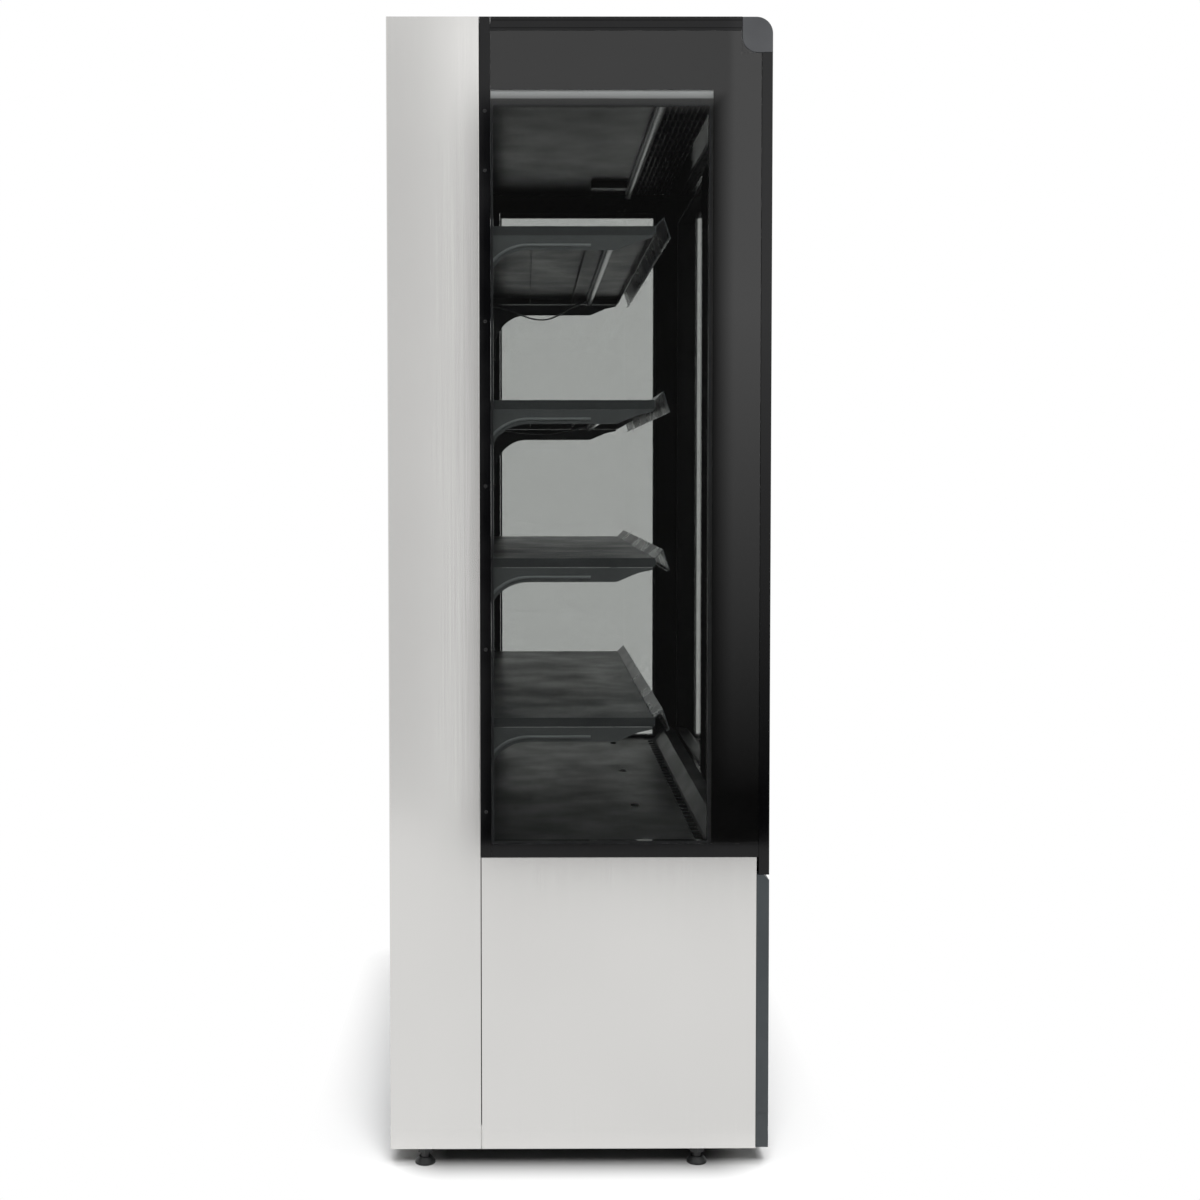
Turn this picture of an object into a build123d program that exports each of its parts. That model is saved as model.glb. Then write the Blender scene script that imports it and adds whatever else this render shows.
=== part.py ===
from build123d import *
import os
from math import pi, radians, tan

# Multideck display fridge with two sliding glass doors, in millimetres.
# X is the width, -Y the front, +Z up. The origin lies on the floor, under the middle.

os.makedirs("parts", exist_ok=True)

# Overall size
width = 1200.0
cabinet_depth = 655.0
grille_stand = 5.0          # how far the rear louvres stand behind the back
foot_height = 31.0
body_height = 1942.0

# General sheet and fits
sheet = 1.2                 # inner sheet metal
skin = 1.2                  # outer stainless skin
fit = 0.3                   # clearance between separate pieces
hem = 16.0                  # usual folded edge

# Side walls, read from the near side of the cabinet
side_wall = 40.0
column_depth = 157.5
column_wide = 42.0
window_post = 18.5
window_rail = 22.8
window_low = 540.5          # height of the top edge of the lower side panel
glass_unit = 24.0
pane = 5.0
spacer_wide = 4.0
rail_groove = 1.5
step_front = 100.5          # from the cabinet's front to the end of the stepped glass edge
step_top = 136.0            # from the cabinet's top to the same edge
sealant = 7.4               # dark sealant above the spacer
spacer_edge = 2.2           # the same at the front

# Front
strip = 18.5                # thickness of the black strip in front of the side glass
jamb_depth = 57.0
cap_depth = 52.0
cap_height = 60.0
cap_thick = 10.0
corner_radius = 28.0
header_wall = 2.5
front_panel_depth = 21.5
front_panel_top = 509.5
kick_top = 93.0

# Doors
door_low = 583.0            # top of the sill's legs
door_high = 1811.0          # bottom of the head's legs
leaf_thick = 23.0
leaf_front = 6.0            # from the cabinet's front to the outer leaf
leaf_gap = 3.0
leaf_overlap = 31.0
leaf_bite = 12.0            # how far a leaf reaches into the head
leaf_side_gap = 1.0
stile_wide = 22.0
pull_stile = 38.0
door_rail_top = 20.0
door_rail_bottom = 30.0
door_glass = 20.0
glass_bite = 8.0
leg = 3.0
web = 3.0
divider = 1.5
roller_radius = 11.0
roller_groove = 1.5
roller_wide = 8.0
roller_pin = 2.5
pin_fit = 0.1
track_rib_wide = 3.0
track_rib_high = 4.0
sill_floor = 553.0
pull_length = 320.0
pull_wide = 16.0
pull_deep = 9.0

# Inside
deck_height = 560.0
deck_front = 127.5          # from the cabinet's front to the deck's front edge
duct_wall_set = 140.0       # from the back of the cabinet to the duct wall's face
ceiling_height = 1878.0
air_slot = 50.0             # air duct between ceiling and roof insulation
shelf_tops = [1628.5, 1329.0, 1054.5, 775.5]
shelf_front = 195.5         # from the cabinet's front to a shelf's front edge
shelf_lip = 16.0
lamp_length = 1040.0
lamp_wide = 15.0
lamp_high = 20.0
bracket_sheet = 2.5

# Outer faces
half_width = width / 2
y_front = -(cabinet_depth + grille_stand) / 2
y_back = y_front + cabinet_depth
z_base = foot_height
z_top = foot_height + body_height
x_in = half_width - side_wall
y_column = y_back - column_depth
y_jamb = y_front + jamb_depth
y_duct = y_back - duct_wall_set
y_shelf = y_front + shelf_front
y_deck = y_front + deck_front
glass_low = window_low + window_rail
glass_high = z_top - window_rail


def block(x, y, z, mode=Mode.ADD):
    """A block between two values on each axis, added to the part being built."""
    with BuildSketch(Plane.XY.offset(z[0])) as footprint:
        with Locations(((x[0] + x[1]) / 2, (y[0] + y[1]) / 2)):
            Rectangle(x[1] - x[0], y[1] - y[0])
    extrude(footprint.sketch, amount=z[1] - z[0], mode=mode)


def folded(points, thickness, length, middle=0.0, side=Side.LEFT):
    """A sheet folded along a path in the YZ plane, thickened to one side, carried along X."""
    with BuildSketch(Plane.YZ.offset(middle)) as section:
        with BuildLine():
            Polyline(*points)
            offset(amount=thickness, side=side)
        make_face()
    extrude(section.sketch, amount=length / 2, both=True)


def save(solid, name):
    """Labels a finished piece and writes it as its own file."""
    solid.label = name
    export_step(solid, f"parts/{name}.step")


def save_pair(solid, name):
    """Writes the left piece and its mirror image on the right."""
    save(solid, f"{name}_left")
    save(mirror(solid, about=Plane.YZ), f"{name}_right")


# Base frame: a welded ring of box section with cross members, floor pan and foot bosses
frame_high = 40.0
frame_wide = 38.0
stem_radius = 8.0
foot_inset = 20.0           # from the side of the cabinet to a foot's axis
foot_front = 122.0          # from the cabinet's front
foot_rear = 59.0            # from the cabinet's back
x_frame = half_width - skin - fit
y_frame_front = y_front + front_panel_depth + fit
y_frame_back = y_back - skin - fit
foot_places = {
    "foot_front_left": (-(half_width - foot_inset), y_front + foot_front),
    "foot_front_right": (half_width - foot_inset, y_front + foot_front),
    "foot_rear_left": (-(half_width - foot_inset), y_back - foot_rear),
    "foot_rear_right": (half_width - foot_inset, y_back - foot_rear),
}
with BuildPart() as base_frame:
    block((-x_frame, x_frame), (y_frame_front, y_frame_back), (z_base, z_base + frame_high))
    inner = (y_frame_front + frame_wide, y_frame_back - frame_wide)
    block(
        (-x_frame + frame_wide, x_frame - frame_wide),
        inner,
        (z_base, z_base + frame_high),
        Mode.SUBTRACT,
    )
    for x_bar in (-200.0, 200.0):
        block((x_bar - 15, x_bar + 15), inner, (z_base, z_base + frame_high))
    block(
        (-x_frame + frame_wide, x_frame - frame_wide),
        inner,
        (z_base + frame_high - sheet, z_base + frame_high),
    )
    with BuildSketch(Plane.XY.offset(z_base)):
        with Locations(*foot_places.values()):
            Circle(stem_radius + fit)
    extrude(amount=frame_high - 5, mode=Mode.SUBTRACT)
save(base_frame.part, "base_frame")

# Levelling feet: a coned base, a locking nut and a threaded stem
foot_radius = 17.5
foot_cone = 11.0
nut_high = 8.0
with BuildPart() as foot:
    with BuildSketch(Plane.XZ):
        with BuildLine():
            Polyline(
                (0, 0),
                (foot_radius, 0),
                (foot_radius, 3.5),
                (stem_radius + 3, foot_cone),
                (stem_radius, foot_cone),
                (stem_radius, z_base + 24),
                (0, z_base + 24),
                close=True,
            )
        make_face()
    revolve(axis=Axis.Z)
    with BuildSketch(Plane.XY.offset(z_base - nut_high - 3)):
        RegularPolygon(radius=stem_radius + 4, side_count=6, major_radius=False)
    extrude(amount=nut_high)
for foot_name, foot_place in foot_places.items():
    save(foot.part.moved(Location((foot_place[0], foot_place[1], 0))), foot_name)

# Lower side panel: a stainless tray with its edges folded inwards
y_panel_front = y_front + front_panel_depth
panel_seam = 1.0
with BuildPart() as side_panel:
    block(
        (-half_width, -half_width + hem),
        (y_panel_front + fit, y_column - panel_seam),
        (z_base, window_low - fit),
    )
    block(
        (-half_width + skin, -half_width + hem),
        (y_panel_front + fit + skin, y_column - panel_seam - skin),
        (z_base, window_low - fit - skin),
        Mode.SUBTRACT,
    )
    block(
        (-half_width + skin, -half_width + hem),
        (y_panel_front + fit, y_column - panel_seam),
        (z_base, z_base + frame_high + fit),
        Mode.SUBTRACT,
    )
    outer_edges = side_panel.edges().filter_by(Axis.Z).group_by(Axis.X)[0]
    fillet(outer_edges, radius=skin * 0.8)
save_pair(side_panel.part, "side_panel")

# End column of the rear wall: a stainless skin round insulation, notched over the base frame
with BuildPart() as rear_column:
    block(
        (-half_width, -half_width + column_wide),
        (y_column, y_back),
        (z_base, z_top),
    )
    block(
        (-half_width + skin, -half_width + column_wide),
        (y_column, y_back - skin),
        (z_base, z_base + frame_high + fit),
        Mode.SUBTRACT,
    )
    fillet(rear_column.edges().filter_by(Axis.Z).group_by(Axis.X)[0], radius=2.0)
save_pair(rear_column.part, "rear_column")

# Back panel: insulated, with pressed fields on its outer skin
wall_thick = 40.0
grille_low = 39.0
grille_high = 414.0
x_column = half_width - column_wide
with BuildPart() as back_panel:
    block(
        (-x_column + fit, x_column - fit),
        (y_back - wall_thick, y_back),
        (grille_high + fit, z_top),
    )
    back_face = back_panel.faces().sort_by(Axis.Y)[-1]
    field_high = (z_top - grille_high) / 3 - 60
    with BuildSketch(back_face):
        with GridLocations((2 * x_column) / 3, field_high + 60, 3, 3):
            RectangleRounded((2 * x_column) / 3 - 50, field_high, 18)
    extrude(amount=-1.5, mode=Mode.SUBTRACT)
save(back_panel.part, "back_panel")

# Rear grille: a pressed sheet with three columns of open louvres and a hole for the gland
floor_top = z_base + frame_high + fit
x_box = 455.0
gland_high = floor_top + 40
gland_radius = 9.0
louvre_pitch = 24.0
louvre_rows = 14
louvre_columns = 3
louvre_high = 9.0
grille_sheet = 1.5
x_grille = x_column - fit
louvre_space = 2 * x_grille / louvre_columns
louvre_long = louvre_space - 50
grille_middle = (grille_low + grille_high) / 2
with BuildPart() as rear_grille:
    block((-x_grille, x_grille), (y_back - grille_sheet, y_back), (grille_low, grille_high))
    with BuildSketch(Plane.XZ.offset(-y_back)):
        with Locations((0, grille_middle)):
            with GridLocations(louvre_space, louvre_pitch, louvre_columns, louvre_rows):
                Rectangle(louvre_long - 4, louvre_high - 2)
    extrude(amount=grille_sheet, mode=Mode.SUBTRACT)
    for column in range(louvre_columns):
        x_louvre = (column - (louvre_columns - 1) / 2) * louvre_space
        with BuildSketch(Plane.YZ.offset(x_louvre - louvre_long / 2)):
            with Locations((y_back, grille_middle)):
                with GridLocations(1, louvre_pitch, 1, louvre_rows):
                    Polygon(
                        (0, louvre_high / 2 + 2),
                        (grille_stand, -louvre_high / 2),
                        (grille_stand - 1, -louvre_high / 2 - 0.5),
                        (0, louvre_high / 2),
                        align=None,
                    )
        extrude(amount=louvre_long)
    with BuildSketch(Plane.XZ.offset(-y_back - grille_stand)):
        with Locations((x_box, gland_high)):
            Circle(gland_radius + 1)
    extrude(amount=grille_stand + grille_sheet, mode=Mode.SUBTRACT)
save(rear_grille.part, "rear_grille")

# Side window frame: rear post, top rail with two grooves, bottom rail, and the filling
# behind the stepped edge of the glass
x_pane = half_width - 1.0
z_cap = z_top - cap_height
y_step = y_front + step_front
z_step = z_top - step_top
y_cap = y_front + cap_depth
y_glass_front = y_front + strip
y_post = y_column - window_post
x_glass_in = half_width - glass_unit - 1
with BuildPart() as window_frame:
    block((-half_width, -x_in), (y_post, y_column - fit), (window_low, z_top))
    block(
        (-half_width, -x_glass_in),
        (y_cap + fit, y_post - fit),
        (glass_high, z_top),
    )
    block(
        (-half_width, -x_glass_in),
        (y_glass_front + fit, y_post - fit),
        (window_low, glass_low),
    )
    block(
        (-x_pane + pane + fit, -x_glass_in),
        (y_glass_front + fit, y_step),
        (glass_low - 1, z_cap - 2 * fit),
    )
    block(
        (-x_pane + pane + fit, -x_glass_in),
        (y_cap + fit, y_post + 1),
        (z_step, glass_high + 1),
    )
    for z_groove in (z_top - 7, z_top - 20):
        block(
            (-half_width, -half_width + rail_groove),
            (y_cap, y_post),
            (z_groove, z_groove + rail_groove),
            Mode.SUBTRACT,
        )
    mirror(about=Plane.YZ)
save(window_frame.part, "window_frames")

# Side glass: a full outer pane, notched behind the corner cap, and a smaller inner pane
with BuildPart() as side_glass:
    span_y = (y_glass_front + fit, y_post - fit)
    span_z = (glass_low + fit, glass_high - fit)
    x_inner = -x_pane + glass_unit - pane
    block((-x_pane, -x_pane + pane), span_y, span_z)
    block((x_inner, x_inner + pane), (y_step + fit, span_y[1]), (span_z[0], z_step - fit))
    block(
        (-half_width, -x_in),
        (y_front, y_cap + fit),
        (z_cap - fit, z_top),
        Mode.SUBTRACT,
    )
    x_spacer = (-x_pane + pane, -x_pane + glass_unit - pane)
    ring_y = (y_step + fit + spacer_edge, span_y[1] - fit)
    ring_z = (span_z[0] + fit, z_step - fit - sealant)
    with BuildSketch(Plane.YZ.offset(x_spacer[0])):
        with Locations((sum(ring_y) / 2, sum(ring_z) / 2)):
            Rectangle(ring_y[1] - ring_y[0], ring_z[1] - ring_z[0])
            Rectangle(
                ring_y[1] - ring_y[0] - 2 * spacer_wide,
                ring_z[1] - ring_z[0] - 2 * spacer_wide,
                mode=Mode.SUBTRACT,
            )
    extrude(amount=x_spacer[1] - x_spacer[0])
save_pair(side_glass.part, "side_glass")

# Front header: a hollow extrusion with a rounded front corner
x_header = half_width - cap_thick
lower_radius = 26.0


def header_outline(x_place, inset=0.0):
    """The header's section in a YZ plane at one X, drawn inwards by an inset."""
    with BuildSketch(Plane.YZ.offset(x_place)) as outline:
        with Locations((y_front + cap_depth / 2, z_top - cap_height / 2)):
            Rectangle(cap_depth - 2 * inset, cap_height - 2 * inset)
        front_top = outline.vertices().group_by(Axis.Y)[-1].sort_by(Axis.X)[0]
        fillet(front_top, radius=corner_radius - inset)
        rear_low = outline.vertices().group_by(Axis.Y)[0].sort_by(Axis.X)[-1]
        fillet(rear_low, radius=lower_radius - inset)
    return outline.sketch


header_long = 2 * (x_header - fit)
with BuildPart() as front_header:
    extrude(header_outline(-header_long / 2), amount=header_long)
    extrude(
        header_outline(-header_long / 2, header_wall),
        amount=header_long,
        mode=Mode.SUBTRACT,
    )
save(front_header.part, "front_header")

# Corner caps: end plates of the header with a spigot that plugs into it
spigot = 9.0
with BuildPart() as corner_cap:
    extrude(header_outline(-half_width), amount=cap_thick)
    extrude(header_outline(-x_header, header_wall + fit), amount=spigot)
    fillet(corner_cap.faces().sort_by(Axis.X)[0].edges(), radius=1.2)
    mirror(about=Plane.YZ)
save(corner_cap.part, "corner_caps")

# Front posts: a hollow strip ahead of the side glass, with the jamb leg behind it
post_wall = 2.5
with BuildPart() as front_post:
    with BuildSketch(Plane.XY.offset(front_panel_top + fit)):
        with BuildLine():
            Polyline(
                (-half_width, y_front),
                (-x_in, y_front),
                (-x_in, y_jamb),
                (-x_glass_in + 1.5, y_jamb),
                (-x_glass_in + 1.5, y_front + strip - fit),
                (-half_width, y_front + strip - fit),
                close=True,
            )
        make_face()
        with Locations((-(half_width + x_in) / 2, y_front + strip / 2)):
            Rectangle(side_wall - 2 * post_wall, strip - 2 * post_wall, mode=Mode.SUBTRACT)
    extrude(amount=z_cap - front_panel_top - 2 * fit)
    fillet(
        front_post.edges().filter_by(Axis.Z).group_by(Axis.Y)[0],
        radius=1.5,
    )
    mirror(about=Plane.YZ)
save(front_post.part, "front_posts")

# Door head: front fascia, two grooves for the leaves and the shroud behind them
x_track = x_in - fit
y_leaf = [y_front + leaf_front, y_front + leaf_front + leaf_thick + leaf_gap]
y_divider = y_leaf[1] - leaf_gap / 2
y_inner_leg = y_leaf[1] + leaf_thick + 0.5
head_web = door_high + leaf_bite + 5
shroud_top = 1884.0
shroud_lip = 17.0
with BuildPart() as door_head:
    y_outer_leg = y_leaf[0] - 1 - leg
    block((-x_track, x_track), (y_outer_leg, y_outer_leg + leg), (door_high, z_cap - fit))
    block((-x_track, x_track), (y_outer_leg, y_inner_leg + leg), (head_web, head_web + web))
    block(
        (-x_track, x_track),
        (y_divider - divider / 2, y_divider + divider / 2),
        (door_high, head_web),
    )
    block((-x_track, x_track), (y_inner_leg, y_inner_leg + leg), (door_high, shroud_top))
    block(
        (-x_track, x_track),
        (y_inner_leg, y_inner_leg + shroud_lip),
        (shroud_top - 2, shroud_top),
    )
    block((-x_track, x_track), (y_outer_leg, y_outer_leg + 14), (z_cap - fit - 2, z_cap - fit))
save(door_head.part, "door_head")

# Door sill: two tracks, each with a rib for the rollers
y_roller = [y + leaf_thick / 2 for y in y_leaf]
track_top = sill_floor + web + track_rib_high
with BuildPart() as door_sill:
    block(
        (-x_track, x_track),
        (y_outer_leg, y_outer_leg + leg),
        (front_panel_top + fit, door_low),
    )
    block(
        (-x_track, x_track),
        (y_outer_leg, y_inner_leg + leg),
        (sill_floor, sill_floor + web),
    )
    block(
        (-x_track, x_track),
        (y_divider - divider / 2, y_divider + divider / 2),
        (sill_floor, door_low),
    )
    block(
        (-x_track, x_track),
        (y_inner_leg, y_inner_leg + leg),
        (front_panel_top + fit, door_low + 3),
    )
    block(
        (-x_track, x_track),
        (y_outer_leg, y_inner_leg + leg),
        (front_panel_top + fit, front_panel_top + fit + web),
    )
    for y_rib in y_roller:
        block(
            (-x_track, x_track),
            (y_rib - track_rib_wide / 2, y_rib + track_rib_wide / 2),
            (sill_floor + web, track_top),
        )
save(door_sill.part, "door_sill")

# Door leaves: a glazing channel all round, with a finger pull on the outer stile
leaf_long = (2 * x_in + leaf_overlap) / 2 - leaf_side_gap
leaf_low = track_top + 3
leaf_high = door_high + leaf_bite
roller_axis = track_top + fit + roller_radius - roller_groove
roller_inset = 75.0
pull_height = 1050.0
x_leaf_left = (-x_in + leaf_side_gap, -x_in + leaf_side_gap + leaf_long)
x_leaf_right = (x_in - leaf_side_gap - leaf_long, x_in - leaf_side_gap)


def door_frame(x_leaf, y_low, pull_side):
    """One leaf's frame: outer size, sight opening, glazing groove, pull and roller pockets."""
    x_sight = (x_leaf[0] + stile_wide, x_leaf[1] - stile_wide)
    if pull_side < 0:
        x_sight = (x_leaf[0] + pull_stile, x_sight[1])
        x_pull = x_leaf[0] + pull_stile / 2 - 3
    else:
        x_sight = (x_sight[0], x_leaf[1] - pull_stile)
        x_pull = x_leaf[1] - pull_stile / 2 + 3
    z_sight = (leaf_low + door_rail_bottom, leaf_high - door_rail_top)
    y_span = (y_low, y_low + leaf_thick)
    y_middle = y_low + leaf_thick / 2
    groove = door_glass / 2 + fit
    with BuildPart() as frame:
        block(x_leaf, y_span, (leaf_low, leaf_high))
        fillet(frame.edges().filter_by(Axis.Z), radius=1.2)
        block(x_sight, y_span, z_sight, Mode.SUBTRACT)
        block(
            (x_sight[0] - glass_bite, x_sight[1] + glass_bite),
            (y_middle - groove, y_middle + groove),
            (z_sight[0] - glass_bite, z_sight[1] + glass_bite),
            Mode.SUBTRACT,
        )
        with BuildSketch(Plane.XZ.offset(-y_low)):
            with Locations((x_pull, pull_height)):
                SlotOverall(pull_length, pull_wide, rotation=90)
        extrude(amount=-pull_deep, mode=Mode.SUBTRACT)
        for x_roller in (x_leaf[0] + roller_inset, x_leaf[1] - roller_inset):
            block(
                (x_roller - roller_radius - 2, x_roller + roller_radius + 2),
                (y_middle - roller_wide / 2 - 0.5, y_middle + roller_wide / 2 + 0.5),
                (leaf_low, leaf_low + 21),
                Mode.SUBTRACT,
            )
            with BuildSketch(Plane.XZ.offset(-(y_middle - roller_wide))):
                with Locations((x_roller, roller_axis)):
                    Circle(roller_pin)
            extrude(amount=-2 * roller_wide)
    return frame.part, x_sight, z_sight


def door_pane(x_sight, z_sight, y_low):
    """The sealed glass unit of a leaf, seated in the glazing groove."""
    y_middle = y_low + leaf_thick / 2
    bite = glass_bite - fit
    with BuildPart() as glazing:
        block(
            (x_sight[0] - bite, x_sight[1] + bite),
            (y_middle - door_glass / 2, y_middle + door_glass / 2),
            (z_sight[0] - bite, z_sight[1] + bite),
        )
    return glazing.part


def roller(x_place, y_place):
    """A grooved nylon wheel that runs on the rib of its track."""
    rim = roller_wide / 2
    neck = track_rib_wide / 2 + 0.6
    bore = roller_pin + pin_fit
    with BuildPart() as wheel:
        with BuildSketch(Plane.XY):
            with BuildLine():
                Polyline(
                    (bore, -rim),
                    (roller_radius, -rim),
                    (roller_radius, -neck - 0.8),
                    (roller_radius - roller_groove, -neck),
                    (roller_radius - roller_groove, neck),
                    (roller_radius, neck + 0.8),
                    (roller_radius, rim),
                    (bore, rim),
                    close=True,
                )
            make_face()
        revolve(axis=Axis.Y)
        with BuildSketch(Plane.XZ.offset(rim)):
            with PolarLocations(roller_radius * 0.6, 5):
                Circle(1.4)
        extrude(amount=-2 * rim, mode=Mode.SUBTRACT)
    return wheel.part.moved(Location((x_place, y_place, roller_axis)))


leaves = {"left": (x_leaf_left, y_leaf[0], -1), "right": (x_leaf_right, y_leaf[1], 1)}
for side, (x_leaf, y_low, pull_side) in leaves.items():
    leaf_frame, x_sight, z_sight = door_frame(x_leaf, y_low, pull_side)
    save(leaf_frame, f"door_{side}_frame")
    save(door_pane(x_sight, z_sight, y_low), f"door_{side}_glass")
    y_wheel = y_low + leaf_thick / 2
    save(roller(x_leaf[0] + roller_inset, y_wheel), f"door_{side}_roller_a")
    save(roller(x_leaf[1] - roller_inset, y_wheel), f"door_{side}_roller_b")

# Lower front panel: a painted tray with air slots and a recess for the controls
intake_rows = 5
intake_columns = 6
recess_deep = 5.0
recess_size = (170.0, 52.0)
x_recess = 445.0
z_recess = 440.0
x_controller = x_recess - 35
x_switch = x_recess + 45
controller_size = (70.0, 28.0)
controller_deep = 46.0
switch_size = (19.0, 26.0)
y_recess = y_front + recess_deep
panel_corner = 9.0          # slant along the top edge of the panel


def panel_section(inset=0.0):
    """The front panel's section with its slanted top edge, open at the back if drawn inwards."""
    near, low, high = y_front + inset, kick_top + fit + inset, front_panel_top - inset
    with BuildSketch(Plane.YZ) as outline:
        Polygon(
            (near, low),
            (y_panel_front, low),
            (y_panel_front, high),
            (near + panel_corner, high),
            (near, high - panel_corner),
            align=None,
        )
    return outline.sketch


with BuildPart() as lower_front_panel:
    extrude(panel_section(), amount=half_width, both=True)
    extrude(panel_section(skin), amount=half_width - skin, both=True, mode=Mode.SUBTRACT)
    fillet(
        lower_front_panel.edges().filter_by(Axis.Z).group_by(Axis.Y)[0],
        radius=1.0,
    )
    with BuildSketch(Plane.XZ.offset(-y_front)):
        with Locations((0, kick_top + 90)):
            with GridLocations(150, 22, intake_columns, intake_rows):
                SlotOverall(120, 8)
    extrude(amount=-2 * skin, mode=Mode.SUBTRACT)
    with BuildSketch(Plane.XZ.offset(-y_front)):
        with Locations((x_recess, z_recess)):
            RectangleRounded(recess_size[0] + 2 * skin, recess_size[1] + 2 * skin, 8 + skin)
    extrude(amount=-recess_deep - skin)
    with BuildSketch(Plane.XZ.offset(-y_front)):
        with Locations((x_recess, z_recess)):
            RectangleRounded(*recess_size, 8)
    extrude(amount=-recess_deep, mode=Mode.SUBTRACT)
    with BuildSketch(Plane.XZ.offset(-y_recess)):
        with Locations((x_controller, z_recess)):
            Rectangle(controller_size[0] + 2 * fit, controller_size[1] + 2 * fit)
        with Locations((x_switch, z_recess)):
            Rectangle(switch_size[0] + 2 * fit, switch_size[1] + 2 * fit)
    extrude(amount=-2 * skin, mode=Mode.SUBTRACT)
save(lower_front_panel.part, "lower_front_panel")

kick_low = z_base + 2
with BuildPart() as kick_plate:
    block((-half_width, half_width), (y_front, y_panel_front), (kick_low, kick_top))
    block(
        (-half_width + skin, half_width - skin),
        (y_front + skin, y_panel_front),
        (kick_low + skin, kick_top - skin),
        Mode.SUBTRACT,
    )
    fillet(kick_plate.edges().filter_by(Axis.Z).group_by(Axis.Y)[0], radius=1.0)
save(kick_plate.part, "kick_plate")

# Insulated tub under the deck: floor and front wall
tub_floor = 365.0
tub_thick = 35.0
y_tub = y_inner_leg + leg + fit
x_tub = half_width - hem - fit
with BuildPart() as insulated_tub:
    tub_back = y_back - wall_thick - fit
    block((-x_tub, x_tub), (y_tub, tub_back), (tub_floor, tub_floor + tub_thick))
    block((-x_tub, x_tub), (y_tub, y_tub + 24), (tub_floor, deck_height - 24))
    x_notch = x_column - fit
    for x_side in ((-x_tub, -x_notch), (x_notch, x_tub)):
        block(
            x_side,
            (y_column - fit, y_back),
            (tub_floor, tub_floor + tub_thick),
            Mode.SUBTRACT,
        )
    fillet(insulated_tub.edges().filter_by(Axis.X).group_by(Axis.Z)[1], radius=6.0)
save(insulated_tub.part, "insulated_tub")

# Roof panel: insulated, notched round the columns
roof_low = ceiling_height + air_slot
with BuildPart() as roof_panel:
    with BuildSketch(Plane.XY.offset(roof_low)):
        with BuildLine():
            Polyline(
                (-x_glass_in + fit, y_cap + fit),
                (x_glass_in - fit, y_cap + fit),
                (x_glass_in - fit, y_post - fit),
                (x_in - fit, y_post - fit),
                (x_in - fit, y_column - fit),
                (x_column - fit, y_column - fit),
                (x_column - fit, y_back - wall_thick - fit),
                (-x_column + fit, y_back - wall_thick - fit),
                (-x_column + fit, y_column - fit),
                (-x_in + fit, y_column - fit),
                (-x_in + fit, y_post - fit),
                (-x_glass_in + fit, y_post - fit),
                close=True,
            )
        make_face()
    extrude(amount=z_top - roof_low)
save(roof_panel.part, "roof_panel")

# Ceiling liner: folded down at the back, up at the front to hold the air outlet
x_liner = x_column - fit
x_window = x_glass_in - fit
y_outlet = y_front + 160
with BuildPart() as ceiling_liner:
    block(
        (-x_window, x_window),
        (y_outlet, y_post - fit),
        (ceiling_height, ceiling_height + sheet),
    )
    folded(
        [
            (y_duct - fit, ceiling_height + hem),
            (y_duct - fit, ceiling_height),
            (y_outlet, ceiling_height),
            (y_outlet, roof_low - fit),
        ],
        sheet,
        2 * x_liner,
        side=Side.RIGHT,
    )
save(ceiling_liner.part, "ceiling_liner")

# Air outlet: an egg-crate grid laid between the ceiling liner and the head's shroud
y_shroud = y_inner_leg + shroud_lip
outlet_low = ceiling_height + 2
outlet_high = outlet_low + 18
outlet_bars = 7
outlet_ribs = 19
with BuildPart() as air_outlet:
    y_grid = (y_shroud + fit, y_outlet - fit)
    block((-x_window, x_window), y_grid, (outlet_low, outlet_high))
    bar_space = (y_grid[1] - y_grid[0] - 3) / (outlet_bars + 1)
    rib_space = (2 * x_window - 3) / (outlet_ribs + 1)
    with BuildSketch(Plane.XY.offset(outlet_low)):
        with Locations((0, (y_grid[0] + y_grid[1]) / 2)):
            with GridLocations(rib_space, bar_space, outlet_ribs + 1, outlet_bars + 1):
                Rectangle(rib_space - 2, bar_space - 2)
    extrude(amount=outlet_high - outlet_low, mode=Mode.SUBTRACT)
save(air_outlet.part, "air_outlet")

# Duct wall: the perforated back of the display space
slot_rows = 9
slot_columns = 12
with BuildPart() as duct_wall:
    block(
        (-x_liner, x_liner),
        (y_duct, y_duct + sheet),
        (deck_height + fit, ceiling_height - fit),
    )
    for x_fold in (-x_liner, x_liner - sheet):
        block(
            (x_fold, x_fold + sheet),
            (y_duct, y_duct + hem),
            (deck_height + fit, ceiling_height - fit),
        )
    with BuildSketch(Plane.XZ.offset(-y_duct)):
        with Locations((0, (deck_height + ceiling_height) / 2)):
            with GridLocations(80, 138, slot_columns, slot_rows):
                Rectangle(30, 5)
    extrude(amount=-sheet, mode=Mode.SUBTRACT)
save(duct_wall.part, "duct_wall")

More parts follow.
